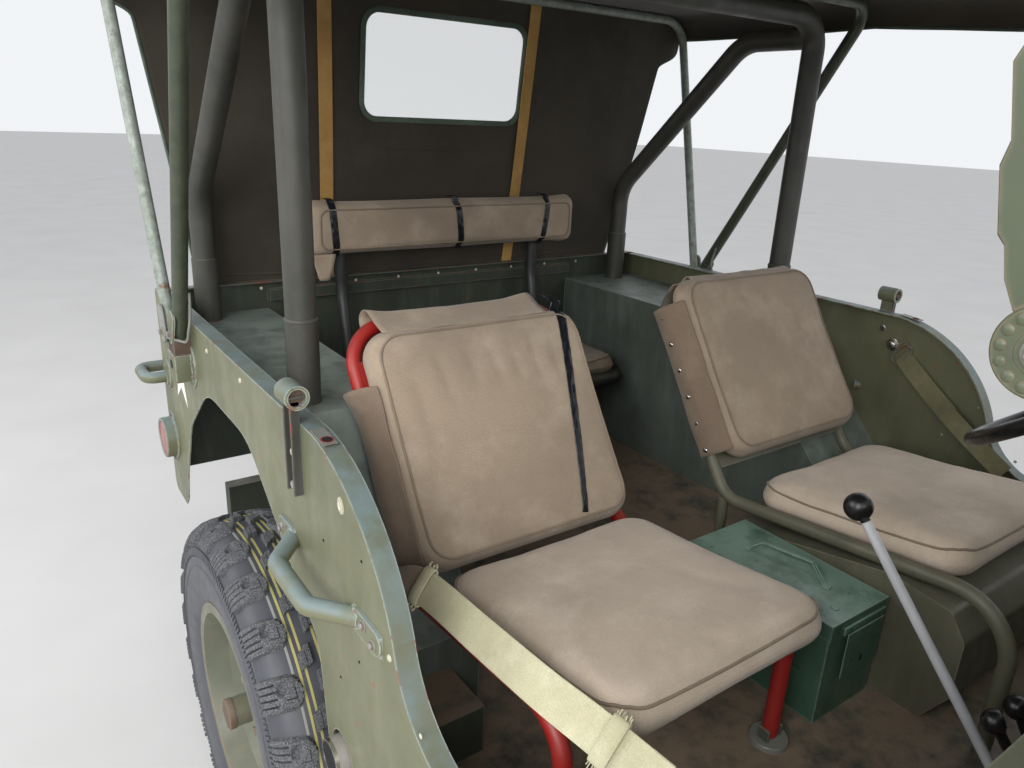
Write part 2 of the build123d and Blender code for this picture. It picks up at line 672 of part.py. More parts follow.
with BuildPart() as rear_panel:
    block((-BODY_INNER, BODY_INNER), (PANEL_INNER_Y, REAR_PANEL_Y), (FRAME_TOP, SIDE_TOP))
    block((-BODY_INNER, BODY_INNER), (PANEL_INNER_Y - REAR_LIP, PANEL_INNER_Y), (SIDE_TOP - SHEET, SIDE_TOP))
    for rail_z, rail_height in ((992, 26), (760, 40), (590, 40)):
        block(
            (-WHEEL_BOX_INNER + 1, WHEEL_BOX_INNER - 1),
            (PANEL_INNER_Y - RAIL_DEPTH, PANEL_INNER_Y),
            (rail_z, rail_z + rail_height),
        )
    for side in (1, -1):
        corner = sorted((side * WHEEL_BOX_INNER, side * BODY_HALF))
        block(corner, (PANEL_INNER_Y - 1, REAR_PANEL_Y + 1), (FRAME_TOP - 1, TAIL_BOTTOM), mode=Mode.SUBTRACT)
    mount_end = SPARE_Y + DISC_X - DISC_THICKNESS
    rod((SPARE_X, REAR_PANEL_Y, SPARE_Z), (SPARE_X, mount_end, SPARE_Z), SPARE_MOUNT_RADIUS)
save(rear_panel, "rear_panel")

# Cowl: tapered box with firewall, sloped toe board and dash panel
TOE_TOP_Z = 740
DASH_HEIGHT = 165
CLOSE = 1
FIREWALL_OPEN_HALF = 520
# Hood hinge: a knuckle of the cowl beside a knuckle of the hood on each side
HOOD_GAP = 5
HOOD_HINGE_X = 400
HOOD_HINGE_Y = FIREWALL_Y - HOOD_GAP / 2
HOOD_HINGE_Z = COWL_TOP + 6
HOOD_KNUCKLE = 40
HOOD_LEAF = 32
HOOD_PIN = 6
# Steering: the column leans back and its wheel stands square to it
STEERING_X = 340
STEERING_LEAN = 52
STEERING_CENTRE_FROM_AXLE = -862
STEERING_CENTRE_Z = 1088
COLUMN_RADIUS = 20
COLUMN_START = 50
COLUMN_END = 700
STEERING_UP = Vector(0, cos(radians(STEERING_LEAN)), sin(radians(STEERING_LEAN)))
STEERING_CENTRE = Vector(STEERING_X, REAR_AXLE_Y + STEERING_CENTRE_FROM_AXLE, STEERING_CENTRE_Z)
STEERING_PLANE = Plane(origin=STEERING_CENTRE, x_dir=(1, 0, 0), z_dir=STEERING_UP)


def cowl_plan(bottom, top, inset, rear):
    """The cowl's tapered plan as a prism between two heights."""
    with BuildSketch(Plane.XY.offset(bottom)) as plan:
        with BuildLine():
            Polyline(
                (-BODY_HALF + inset, rear),
                (BODY_HALF - inset, rear),
                (COWL_FRONT_HALF - inset, FIREWALL_Y + inset),
                (-COWL_FRONT_HALF + inset, FIREWALL_Y + inset),
                close=True,
            )
        make_face()
    return extrude(plan.sketch, amount=top - bottom, mode=Mode.PRIVATE)


with BuildPart() as cowl:
    outer = cowl_plan(SIDE_BOTTOM, COWL_TOP, 0, DASH_Y)
    add(outer)
    add(cowl_plan(SIDE_BOTTOM - CLOSE, COWL_TOP - SHEET, SHEET, DASH_Y), mode=Mode.SUBTRACT)
    toe_profile = (
        (DASH_Y, FLOOR_BOTTOM),
        (DASH_Y, FLOOR_TOP),
        (FIREWALL_Y, TOE_TOP_Z),
        (FIREWALL_Y, TOE_TOP_Z - SHEET),
    )
    side_plate(-BODY_HALF, toe_profile, 2 * BODY_HALF)
    block((-BODY_HALF, BODY_HALF), (DASH_Y - SHEET, DASH_Y), (COWL_TOP - DASH_HEIGHT, COWL_TOP))
    add(outer, mode=Mode.INTERSECT)
    bay = (FIREWALL_Y - CLOSE, FIREWALL_Y + SHEET + CLOSE)
    block((-FIREWALL_OPEN_HALF, FIREWALL_OPEN_HALF), bay, (SIDE_BOTTOM - CLOSE, FLOOR_BOTTOM), mode=Mode.SUBTRACT)
    column_end = STEERING_CENTRE - STEERING_UP * COLUMN_END
    rod(tuple(STEERING_CENTRE), tuple(column_end), COLUMN_RADIUS + 1.5, mode=Mode.SUBTRACT)
    for side in (1, -1):
        x = side * HOOD_HINGE_X
        knuckle = (x + side * RUNNING_GAP, x + side * HOOD_KNUCKLE)
        block(knuckle, (HOOD_HINGE_Y, FIREWALL_Y + HOOD_LEAF), (COWL_TOP, COWL_TOP + SHEET))
        rod((knuckle[0], HOOD_HINGE_Y, HOOD_HINGE_Z), (knuckle[1], HOOD_HINGE_Y, HOOD_HINGE_Z), HOOD_PIN)
save(cowl, "cowl")

# Hood: two tapered shells, outer less inner, open below and at both ends
HOOD_CORNER = 70
HOOD_REAR_Y = FIREWALL_Y - HOOD_GAP


def hood_body(inset):
    """The hood's solid form, drawn in by the sheet on every side but the ends."""
    over = inset
    with BuildSketch(Plane.XZ.offset(-HOOD_REAR_Y - over)) as rear_end:
        with Locations((0, COWL_TOP - inset - HOOD_SKIRT / 2)):
            RectangleRounded(2 * (COWL_FRONT_HALF - inset), HOOD_SKIRT, HOOD_CORNER - inset)
    with BuildSketch(Plane.XZ.offset(-GRILLE_Y + over)) as front_end:
        with Locations((0, COWL_TOP - HOOD_DROP - inset - HOOD_SKIRT / 2)):
            RectangleRounded(2 * (HOOD_FRONT_HALF - inset), HOOD_SKIRT, HOOD_CORNER - inset)
    return loft([rear_end.sketch.face(), front_end.sketch.face()], mode=Mode.PRIVATE)


with BuildPart() as hood:
    add(hood_body(0))
    add(hood_body(SHEET), mode=Mode.SUBTRACT)
    block(
        (-BODY_HALF, BODY_HALF),
        (GRILLE_Y - 50, FIREWALL_Y + 50),
        (COWL_TOP - 2 * HOOD_SKIRT, COWL_TOP - HOOD_SKIRT / 2 - HOOD_DROP),
        mode=Mode.SUBTRACT,
    )
    for side in (1, -1):
        x = side * HOOD_HINGE_X
        knuckle = (x, x - side * HOOD_KNUCKLE)
        block(knuckle, (HOOD_REAR_Y - HOOD_LEAF, HOOD_HINGE_Y), (COWL_TOP - SHEET, COWL_TOP + SHEET))
        rod((knuckle[0], HOOD_HINGE_Y, HOOD_HINGE_Z), (knuckle[1], HOOD_HINGE_Y, HOOD_HINGE_Z), HOOD_PIN)
save(hood, "hood")

# Grille: a pressed panel with nine slots, two lamp openings and two marker openings
GRILLE_HALF = 490
GRILLE_TOP = COWL_TOP - HOOD_DROP - 10
GRILLE_THICKNESS = 12
SLOT_COUNT = 9
SLOT_PITCH = 56
SLOT_WIDTH = 28
SLOT_HEIGHT = 250
LAMP_X = 372
LAMP_Z = 800
MARKER_RADIUS = 24
MARKER_Z = 660
GRILLE_FRONT_Y = GRILLE_Y - GRILLE_THICKNESS - RUNNING_GAP

with BuildPart() as grille:
    with BuildSketch(Plane.XZ.offset(-GRILLE_FRONT_Y - GRILLE_THICKNESS)) as grille_face:
        with Locations((0, (GRILLE_BOTTOM + GRILLE_TOP) / 2)):
            RectangleRounded(2 * GRILLE_HALF, GRILLE_TOP - GRILLE_BOTTOM, 60)
        with Locations((0, LAMP_Z - 10)):
            with GridLocations(SLOT_PITCH, 0, SLOT_COUNT, 1):
                SlotOverall(SLOT_HEIGHT, SLOT_WIDTH, rotation=90, mode=Mode.SUBTRACT)
        with Locations((LAMP_X, LAMP_Z), (-LAMP_X, LAMP_Z)):
            Circle(LAMP_RADIUS, mode=Mode.SUBTRACT)
        with Locations((LAMP_X, MARKER_Z), (-LAMP_X, MARKER_Z)):
            Circle(MARKER_RADIUS, mode=Mode.SUBTRACT)
    extrude(grille_face.sketch, amount=GRILLE_THICKNESS)
save(grille, "grille")

# Lamps: headlamps and markers in the grille, tail lamps and round side reflectors
TAIL_X = BODY_HALF - 69
TAIL_Z = 665
TAIL_RADIUS = 30
TAIL_DEPTH = 24
REFLECTOR_FROM_AXLE = 556
REFLECTOR_Z = 704
REFLECTOR_RADIUS = 45
REFLECTOR_DEPTH = 24

with BuildPart() as lamps:
    back_y = GRILLE_FRONT_Y + 60
    for side in (1, -1):
        rod((side * LAMP_X, back_y, LAMP_Z), (side * LAMP_X, GRILLE_FRONT_Y, LAMP_Z), LAMP_RADIUS)
        rod((side * LAMP_X, back_y, MARKER_Z), (side * LAMP_X, GRILLE_FRONT_Y - 10, MARKER_Z), MARKER_RADIUS)
        tail = (side * TAIL_X, REAR_PANEL_Y, TAIL_Z)
        rod(tail, (side * TAIL_X, REAR_PANEL_Y + TAIL_DEPTH, TAIL_Z), TAIL_RADIUS)
        disc_y = REAR_AXLE_Y + REFLECTOR_FROM_AXLE
        disc = (side * BODY_HALF, disc_y, REFLECTOR_Z)
        rod(disc, (side * (BODY_HALF + REFLECTOR_DEPTH), disc_y, REFLECTOR_Z), REFLECTOR_RADIUS)
save(lamps, "lamps")

# Front fenders: flat top, lips at the front and outside, splash plate behind the wheel
FENDER_LIP = 45
FENDER_REAR_DROP = 170
FENDER_FOOT_Z = 500
FENDER_CLEAR = 8
STRIP_TOP = 880


def strip(plane, points, bend, thickness, width, mode=Mode.ADD):
    """Sheet bent along a line of points and extruded across its plane."""
    with BuildSketch(plane) as section:
        with BuildLine():
            FilletPolyline(*points, radius=bend)
            offset(amount=thickness, side=Side.RIGHT)
        make_face()
    extrude(section.sketch, amount=width, mode=mode)


FENDER_LINE = (
    (GRILLE_Y, FENDER_TOP - 60),
    (GRILLE_Y, FENDER_TOP),
    (FIREWALL_Y - FENDER_REAR_DROP, FENDER_TOP),
    (FIREWALL_Y - HOOD_GAP, FENDER_FOOT_Z),
)

with BuildPart() as fenders:
    for side in (1, -1):
        start_x = FENDER_HALF if side < 0 else 0
        strip(Plane.YZ.offset(-start_x), FENDER_LINE, 30, SHEET, FENDER_HALF)
        lip_x = FENDER_HALF - SHEET if side > 0 else -FENDER_HALF
        strip(Plane.YZ.offset(lip_x), FENDER_LINE, 30, FENDER_LIP, SHEET)
    with BuildSketch(Plane.XY.offset(FENDER_FOOT_Z - 100)) as engine_bay:
        with BuildLine():
            Polyline(
                (-HOOD_FRONT_HALF + FENDER_CLEAR, GRILLE_Y - 100),
                (HOOD_FRONT_HALF - FENDER_CLEAR, GRILLE_Y - 100),
                (HOOD_FRONT_HALF - FENDER_CLEAR, GRILLE_Y),
                (COWL_FRONT_HALF - FENDER_CLEAR, FIREWALL_Y),
                (COWL_FRONT_HALF - FENDER_CLEAR, FIREWALL_Y + 100),
                (-COWL_FRONT_HALF + FENDER_CLEAR, FIREWALL_Y + 100),
                (-COWL_FRONT_HALF + FENDER_CLEAR, FIREWALL_Y),
                (-HOOD_FRONT_HALF + FENDER_CLEAR, GRILLE_Y),
                close=True,
            )
        make_face()
    extrude(engine_bay.sketch, amount=FENDER_TOP, mode=Mode.SUBTRACT)
    with BuildSketch(Plane.XY.offset(FENDER_TOP - SHEET)) as apron:
        for side in (1, -1):
            with BuildLine():
                Polyline(
                    (side * (HOOD_FRONT_HALF - FENDER_CLEAR), GRILLE_Y),
                    (side * (COWL_FRONT_HALF - FENDER_CLEAR), FIREWALL_Y - RUNNING_GAP),
                    (side * (COWL_FRONT_HALF - FENDER_CLEAR - SHEET), FIREWALL_Y - RUNNING_GAP),
                    (side * (HOOD_FRONT_HALF - FENDER_CLEAR - SHEET), GRILLE_Y),
                    close=True,
                )
            make_face()
    extrude(apron.sketch, amount=STRIP_TOP - FENDER_TOP + SHEET)
save(fenders, "fenders")

# Windshield: leaning frame with two panes on the cowl
SHIELD_Y = DASH_Y - 90
SHIELD_PLANE = Plane(
    origin=(0, SHIELD_Y, COWL_TOP),
    x_dir=(1, 0, 0),
    z_dir=(0, -cos(radians(SHIELD_LEAN)), sin(radians(SHIELD_LEAN))),
)
SHIELD_BAR = 36
SHIELD_PANEL = 130
PANE_HALF = (2 * SHIELD_HALF - 3 * SHIELD_BAR) / 4
PANE_X = SHIELD_BAR / 2 + PANE_HALF
PANE_HEIGHT = SHIELD_HEIGHT - SHIELD_PANEL - SHIELD_BAR
PANE_MIDDLE = SHIELD_PANEL + PANE_HEIGHT / 2
PANE_THICKNESS = 6
PANE_CORNER = 18
SHIELD_LIFT = 4

with BuildPart() as windshield_frame:
    with BuildSketch(SHIELD_PLANE) as shield:
        with Locations((0, SHIELD_LIFT + SHIELD_HEIGHT / 2)):
            RectangleRounded(2 * SHIELD_HALF, SHIELD_HEIGHT, 40)
        with Locations((PANE_X, PANE_MIDDLE), (-PANE_X, PANE_MIDDLE)):
            RectangleRounded(2 * PANE_HALF, PANE_HEIGHT, PANE_CORNER, mode=Mode.SUBTRACT)
    extrude(shield.sketch, amount=SHIELD_DEPTH)
    for side in (1, -1):
        hinge_x = side * (SHIELD_HALF - 120)
        block((hinge_x - 30, hinge_x + 30), (SHIELD_Y - 32, SHIELD_Y - 6), (COWL_TOP, COWL_TOP + 30))
save(windshield_frame, "windshield_frame")

with BuildPart() as windshield_glass:
    with BuildSketch(SHIELD_PLANE.offset(SHIELD_DEPTH / 2)) as panes:
        with Locations((PANE_X, PANE_MIDDLE), (-PANE_X, PANE_MIDDLE)):
            RectangleRounded(2 * PANE_HALF, PANE_HEIGHT, PANE_CORNER)
    extrude(panes.sketch, amount=PANE_THICKNESS)
save(windshield_glass, "windshield_glass")

# Roll cage: main hoop and two stays, each foot in a wider sleeve on the wheel boxes
CAGE_BEND = 75
SLEEVE_RADIUS = 27
SLEEVE_HEIGHT = 140
HOOP_Y = REAR_AXLE_Y + HOOP_FROM_AXLE
STAY_Y = REAR_AXLE_Y + STAY_FROM_AXLE
STAY_KNEE_Z = 1245
STAY_TOP_Z = 1629
STAY_TOP_FROM_AXLE = 150
STAY_BEND = 110

with BuildPart() as roll_cage:
    tube(
        (
            (-CAGE_HALF, HOOP_Y, WHEEL_BOX_TOP),
            (-CAGE_HALF, HOOP_Y, CAGE_TOP),
            (CAGE_HALF, HOOP_Y, CAGE_TOP),
            (CAGE_HALF, HOOP_Y, WHEEL_BOX_TOP),
        ),
        CAGE_BEND,
        CAGE_RADIUS,
    )
    for side in (1, -1):
        x = side * CAGE_HALF
        tube(
            (
                (x, STAY_Y, WHEEL_BOX_TOP),
                (x, STAY_Y, STAY_KNEE_Z),
                (x, REAR_AXLE_Y + STAY_TOP_FROM_AXLE, STAY_TOP_Z),
                (x, HOOP_Y, STAY_TOP_Z),
            ),
            STAY_BEND,
            CAGE_RADIUS - 1,
        )
        for y in (HOOP_Y, STAY_Y):
            rod((x, y, WHEEL_BOX_TOP), (x, y, WHEEL_BOX_TOP + SLEEVE_HEIGHT), SLEEVE_RADIUS)
save(roll_cage, "roll_cage")

# Top bows: one leaning back and one leaning forward, from a bracket on each side
BOW_PIVOT_Y = REAR_AXLE_Y + BOW_PIVOT_FROM_AXLE
REAR_BOW_X = BODY_HALF + 24
FRONT_BOW_X = BODY_HALF + 15
REAR_BOW_FROM_AXLE = 510
FRONT_BOW_FROM_AXLE = -86
REAR_BOW_Y = REAR_AXLE_Y + REAR_BOW_FROM_AXLE
FRONT_BOW_Y = REAR_AXLE_Y + FRONT_BOW_FROM_AXLE
BOW_SPLAY = 25
BOW_BEND = 60
BOW_BRACKET_HALF = 28
BOW_BRACKET_DROP = 60
BOW_BRACKET_RISE = 20
BOWS = ((REAR_BOW_X, REAR_BOW_Y, REAR_BOW_RADIUS), (FRONT_BOW_X, FRONT_BOW_Y, FRONT_BOW_RADIUS))

with BuildPart() as top_bows:
    for bow_x, bow_y, bow_radius in BOWS:
        tube(
            (
                (-bow_x, BOW_PIVOT_Y, BOW_PIVOT_Z),
                (-bow_x - BOW_SPLAY, bow_y, BOW_TOP - bow_radius),
                (bow_x + BOW_SPLAY, bow_y, BOW_TOP - bow_radius),
                (bow_x, BOW_PIVOT_Y, BOW_PIVOT_Z),
            ),
            BOW_BEND,
            bow_radius,
        )
    for side in (1, -1):
        reach = sorted((side * BODY_HALF, side * (REAR_BOW_X + 8)))
        bracket_y = (BOW_PIVOT_Y - BOW_BRACKET_HALF, BOW_PIVOT_Y + BOW_BRACKET_HALF)
        block(reach, bracket_y, (BOW_PIVOT_Z - BOW_BRACKET_DROP, BOW_PIVOT_Z + BOW_BRACKET_RISE))
save(top_bows, "top_bows")

# Canvas top: roof over the bows, side valances and a rear curtain with a window
ROOF_Z = BOW_TOP + RUNNING_GAP
CANVAS_HALF = REAR_BOW_X + BOW_SPLAY + REAR_BOW_RADIUS + 3
ROOF_FRONT_Y = SHIELD_Y + (SHIELD_HEIGHT + SHIELD_LIFT) * sin(radians(SHIELD_LEAN)) - SHIELD_DEPTH
ROOF_FRONT_Z = COWL_TOP + (SHIELD_HEIGHT + SHIELD_LIFT) * cos(radians(SHIELD_LEAN)) + 5
CURTAIN_TOP_Y = REAR_BOW_Y + REAR_BOW_RADIUS + 1
CURTAIN_FOOT_Y = REAR_PANEL_Y + 9
CURTAIN_FOOT_Z = 985
VALANCE = 60
WINDOW_WIDTH = 452
WINDOW_HEIGHT = 236
WINDOW_Z = 1532
WINDOW_CORNER = 40
CURTAIN_CUT_Y = REAR_PANEL_Y + 50
CURTAIN_CUT_DEPTH = 200
CURTAIN_HALF_TOP = BODY_HALF + 9
CURTAIN_HALF_FOOT = BODY_HALF - 109

with BuildPart() as canvas_top:
    roof_line = (
        (ROOF_FRONT_Y, ROOF_FRONT_Z),
        (FRONT_BOW_Y, ROOF_Z),
        (CURTAIN_TOP_Y, ROOF_Z),
        (CURTAIN_FOOT_Y, CURTAIN_FOOT_Z),
    )
    roof_bend = REAR_BOW_RADIUS + RUNNING_GAP
    with BuildSketch(Plane.YZ.offset(-CANVAS_HALF)) as roof:
        with BuildLine():
            FilletPolyline(*roof_line, radius=roof_bend)
            offset(amount=CANVAS, side=Side.LEFT)
        make_face()
    extrude(roof.sketch, amount=2 * CANVAS_HALF)
    with BuildSketch(Plane.XZ.offset(-CURTAIN_CUT_Y)) as curtain_cut:
        for side in (1, -1):
            with BuildLine():
                Polyline(
                    (side * (CANVAS_HALF + 5), ROOF_Z - VALANCE),
                    (side * CURTAIN_HALF_TOP, ROOF_Z - VALANCE),
                    (side * CURTAIN_HALF_FOOT, CURTAIN_FOOT_Z - 20),
                    (side * (CANVAS_HALF + 5), CURTAIN_FOOT_Z - 20),
                    close=True,
                )
            make_face()
        with Locations((0, WINDOW_Z)):
            RectangleRounded(WINDOW_WIDTH, WINDOW_HEIGHT, WINDOW_CORNER)
    extrude(curtain_cut.sketch, amount=CURTAIN_CUT_DEPTH, mode=Mode.SUBTRACT)
    valance_outline = (
        (ROOF_FRONT_Y, ROOF_FRONT_Z - VALANCE),
        (ROOF_FRONT_Y, ROOF_FRONT_Z),
        (FRONT_BOW_Y, ROOF_Z + CANVAS - 1),
        (CURTAIN_TOP_Y - 4, ROOF_Z + CANVAS - 1),
        (CURTAIN_TOP_Y + 4, ROOF_Z - VALANCE),
        (FRONT_BOW_Y, ROOF_Z - VALANCE),
    )
    side_plate(CANVAS_HALF, valance_outline, CANVAS)
    side_plate(-CANVAS_HALF - CANVAS, valance_outline, CANVAS)
save(canvas_top, "canvas_top")

with BuildPart() as rear_window:
    extrude(roof.sketch, amount=2 * CANVAS_HALF)
    with BuildSketch(Plane.XZ.offset(-CURTAIN_CUT_Y)) as pane:
        with Locations((0, WINDOW_Z)):
            RectangleRounded(WINDOW_WIDTH - 2 * RUNNING_GAP, WINDOW_HEIGHT - 2 * RUNNING_GAP, WINDOW_CORNER)
    extrude(pane.sketch, amount=CURTAIN_CUT_DEPTH, mode=Mode.INTERSECT)
save(rear_window, "rear_window")

# Front seats: bent tube frame with pans, and plain cushions
DRIVER_SHIFT = -31
TUBE_REAR_FROM_AXLE = -317
TUBE_ABOVE_PAN = 6
BACK_TOP_FROM_AXLE = -148
BACK_TOP_Z = 1122
BACK_THICKNESS = 60
SOFT_GAP = 0.4
CUSHION_FRONT_FROM_AXLE = -738
BACK_UP = Vector(0, sin(radians(BACK_LEAN)), cos(radians(BACK_LEAN)))
BACK_OUT = Vector(0, cos(radians(BACK_LEAN)), -sin(radians(BACK_LEAN)))
REAR_LEG_FROM_AXLE = -316
CUSHION_SLOPE = (SEAT_TOP_FRONT - SEAT_TOP_REAR) / 397

# Each seat: name, side, shift along y, y of the front legs from the rear axle, front bend, z of the leg ends
SEATS = (
    ("driver", 1, DRIVER_SHIFT, -885, 90, FLOOR_TOP),
    ("passenger", -1, 0, PIVOT_LEG_FROM_AXLE, 60, PIVOT_Z),
)


def tube_z(distance, shift):
    """The height of the seat's side tube at a distance behind the rear axle."""
    front_z = SEAT_TOP_FRONT - CUSHION_HEIGHT + TUBE_ABOVE_PAN
    return front_z - (distance - CUSHION_FRONT_FROM_AXLE - shift) * CUSHION_SLOPE


def raised(points, distance):
    """An outline of (y, z) points moved forward and up by a distance."""
    return [(y - distance, z + distance) for y, z in points]


def seat_frame(side, shift, leg_from_axle, bend, leg_end):
    """The frame of one front seat: a tube loop, rear legs and two pans."""
    middle = side * SEAT_X
    front_y = REAR_AXLE_Y + leg_from_axle
    rear_y = REAR_AXLE_Y + TUBE_REAR_FROM_AXLE + shift
    rear_z = tube_z(TUBE_REAR_FROM_AXLE + shift, shift)
    top = Vector(0, REAR_AXLE_Y + BACK_TOP_FROM_AXLE + shift, BACK_TOP_Z)
    top += BACK_OUT * (BACK_THICKNESS + SEAT_TUBE_RADIUS + SOFT_GAP) + BACK_UP * 14
    loop = []
    for x in (middle - SEAT_HALF, middle + SEAT_HALF):
        half = [
            (x, front_y, leg_end),
            (x, front_y, tube_z(leg_from_axle, shift)),
            (x, rear_y, rear_z),
            (x, top.Y, top.Z),
        ]
        loop += half if not loop else reversed(half)
    with BuildPart() as frame:
        tube(loop, [bend, 60, 70, 70, 60, bend], SEAT_TUBE_RADIUS)
        leg_y = REAR_AXLE_Y + REAR_LEG_FROM_AXLE + shift
        for x in (middle - SEAT_HALF, middle + SEAT_HALF):
            rod((x, leg_y, FLOOR_TOP), (x, leg_y, rear_z), SEAT_TUBE_RADIUS - 2)
        wall = sorted((side * WHEEL_BOX_INNER, side * BODY_INNER))
        side_plate(wall[0], raised(BOX_OUTLINE, RUNNING_GAP), wall[1] - wall[0], mode=Mode.SUBTRACT)
        pan_front = CUSHION_FRONT_FROM_AXLE + shift + 55
        pan_top = SEAT_TOP_FRONT - CUSHION_HEIGHT - SOFT_GAP
        front_drop = 55 * CUSHION_SLOPE
        pan_length = CUSHION_LENGTH - 70
        side_plate(
            middle - SEAT_HALF,
            from_axle(
                (
                    (pan_front, pan_top - front_drop),
                    (pan_front + pan_length, pan_top - front_drop - pan_length * CUSHION_SLOPE),
                    (pan_front + pan_length, pan_top - front_drop - pan_length * CUSHION_SLOPE - SHEET),
                    (pan_front, pan_top - front_drop - SHEET),
                )
            ),
            2 * SEAT_HALF,
        )
        pan_low = top - BACK_UP * (BACK_HEIGHT - 20) - BACK_OUT * SEAT_TUBE_RADIUS
        pan_high = top - BACK_UP * 60 - BACK_OUT * SEAT_TUBE_RADIUS
        corners = (pan_low, pan_high, pan_high + BACK_OUT * SHEET, pan_low + BACK_OUT * SHEET)
        side_plate(middle - SEAT_HALF, [(c.Y, c.Z) for c in corners], 2 * SEAT_HALF)
    return frame


def cushions(side, shift):
    """The seat cushion and the back cushion of one front seat."""
    start_x = side * SEAT_X - CUSHION_WIDTH / 2
    front = REAR_AXLE_Y + CUSHION_FRONT_FROM_AXLE + shift
    rear = front + CUSHION_LENGTH - 20
    rear_z = SEAT_TOP_FRONT - (rear - front) * CUSHION_SLOPE
    top = Vector(0, REAR_AXLE_Y + BACK_TOP_FROM_AXLE + shift, BACK_TOP_Z)
    low = top - BACK_UP * BACK_HEIGHT
    with BuildPart() as pads:
        side_plate(
            start_x,
            (
                (front, SEAT_TOP_FRONT - CUSHION_HEIGHT),
                (front, SEAT_TOP_FRONT),
                (rear, rear_z),
                (rear, rear_z - CUSHION_HEIGHT),
            ),
            CUSHION_WIDTH,
        )
        fillet(pads.edges().filter_by(Axis.Z, reverse=True).filter_by(Axis.X), 22)
        back = (low, top, top + BACK_OUT * BACK_THICKNESS, low + BACK_OUT * BACK_THICKNESS)
        side_plate(start_x, [(c.Y, c.Z) for c in back], CUSHION_WIDTH)
    return pads


for name, side, shift, leg_from_axle, bend, leg_end in SEATS:
    frame = seat_frame(side, shift, leg_from_axle, bend, leg_end)
    if name == "passenger":
        with frame:
            front_y = REAR_AXLE_Y + leg_from_axle
            for x in (side * SEAT_X - SEAT_HALF, side * SEAT_X + SEAT_HALF):
                with Locations((x, front_y, leg_end)):
                    Sphere(SEAT_TUBE_RADIUS)
                start = (x - SEAT_TUBE_RADIUS, front_y, PIVOT_Z)
                end = (x + SEAT_TUBE_RADIUS, front_y, PIVOT_Z)
                rod(start, end, PIVOT_RADIUS + RUNNING_GAP, mode=Mode.SUBTRACT)
            rear_y = REAR_AXLE_Y + REAR_LEG_FROM_AXLE
            block(
                (-SEAT_X - SEAT_HALF - 20, -SEAT_X + SEAT_HALF + 20),
                (rear_y - 20, rear_y + 20),
                (FLOOR_TOP - 1, FLOOR_TOP + RUNNING_GAP),
                mode=Mode.SUBTRACT,
            )
    save(frame, f"{name}_seat_frame")
    save(cushions(side, shift), f"{name}_cushions")

# Rear seat between the wheel boxes, its backrest on two posts
REAR_SEAT_FRONT_FROM_AXLE = 285
REAR_SEAT_LENGTH = 300
REAR_SEAT_HALF = 440
REAR_SEAT_TUBE_Z = 752
REAR_CUSHION_HALF = 418
REAR_CUSHION_TOP = 815
REAR_BACK_FROM_AXLE = 480
REAR_BACK_HALF = 388
REAR_BACK_LOW = 1100
REAR_BACK_TOP = 1236
REAR_BACK_THICKNESS = 62
REAR_POST_X = 290
REAR_TUBE_RADIUS = 14

REAR_SEAT_Y = REAR_AXLE_Y + REAR_SEAT_FRONT_FROM_AXLE
REAR_SEAT_END_Y = REAR_SEAT_Y + REAR_SEAT_LENGTH
REAR_BACK_Y = REAR_AXLE_Y + REAR_BACK_FROM_AXLE

with BuildPart() as rear_seat_frame:
    end_x = WHEEL_BOX_INNER
    tube(
        (
            (-REAR_SEAT_HALF, REAR_SEAT_END_Y - 20, REAR_SEAT_TUBE_Z),
            (-REAR_SEAT_HALF, REAR_SEAT_Y, REAR_SEAT_TUBE_Z),
            (REAR_SEAT_HALF, REAR_SEAT_Y, REAR_SEAT_TUBE_Z),
            (REAR_SEAT_HALF, REAR_SEAT_END_Y - 20, REAR_SEAT_TUBE_Z),
        ),
        55,
        REAR_TUBE_RADIUS,
    )
    pan_top = REAR_SEAT_TUBE_Z + REAR_TUBE_RADIUS
    block((-REAR_CUSHION_HALF, REAR_CUSHION_HALF), (REAR_SEAT_Y + 5, REAR_SEAT_END_Y - 20), (pan_top - SHEET, pan_top))
    for side in (1, -1):
        x = side * REAR_SEAT_HALF
        wall = side * WHEEL_BOX_INNER
        rod((x, REAR_SEAT_Y + 120, REAR_SEAT_TUBE_Z), (wall, REAR_SEAT_Y + 120, REAR_SEAT_TUBE_Z), 10)
        x = side * REAR_POST_X
        post_y = REAR_BACK_Y + REAR_BACK_THICKNESS + SOFT_GAP + REAR_TUBE_RADIUS
        tube(
            (
                (x, REAR_SEAT_Y + 215, pan_top - SHEET),
                (x, post_y, REAR_BACK_LOW - 90),
                (x, post_y, REAR_BACK_TOP - 30),
            ),
            150,
            REAR_TUBE_RADIUS,
        )
save(rear_seat_frame, "rear_seat_frame")

with BuildPart() as rear_cushions:
    block(
        (-REAR_CUSHION_HALF, REAR_CUSHION_HALF),
        (REAR_SEAT_Y, REAR_SEAT_Y + 190),
        (REAR_SEAT_TUBE_Z + REAR_TUBE_RADIUS + SOFT_GAP, REAR_CUSHION_TOP),
    )
    block(
        (-REAR_BACK_HALF, REAR_BACK_HALF),
        (REAR_BACK_Y, REAR_BACK_Y + REAR_BACK_THICKNESS),
        (REAR_BACK_LOW, REAR_BACK_TOP),
    )
save(rear_cushions, "rear_cushions")

# Fuel tank under the driver's seat
TANK_RIGHT_X = 121
TANK_LEFT_X = 570
TANK_OUTLINE = (
    (-372, FLOOR_TOP),
    (-372, 690),
    (-700, 755),
    (-800, 742),
    (-828, 700),
    (-828, 600),
    (-790, FLOOR_TOP),
)

with BuildPart() as fuel_tank:
    side_plate(
        TANK_RIGHT_X,
        from_axle(TANK_OUTLINE),
        TANK_LEFT_X - TANK_RIGHT_X,
    )
    fillet(fuel_tank.edges().filter_by(Axis.X), 14)
save(fuel_tank, "fuel_tank")

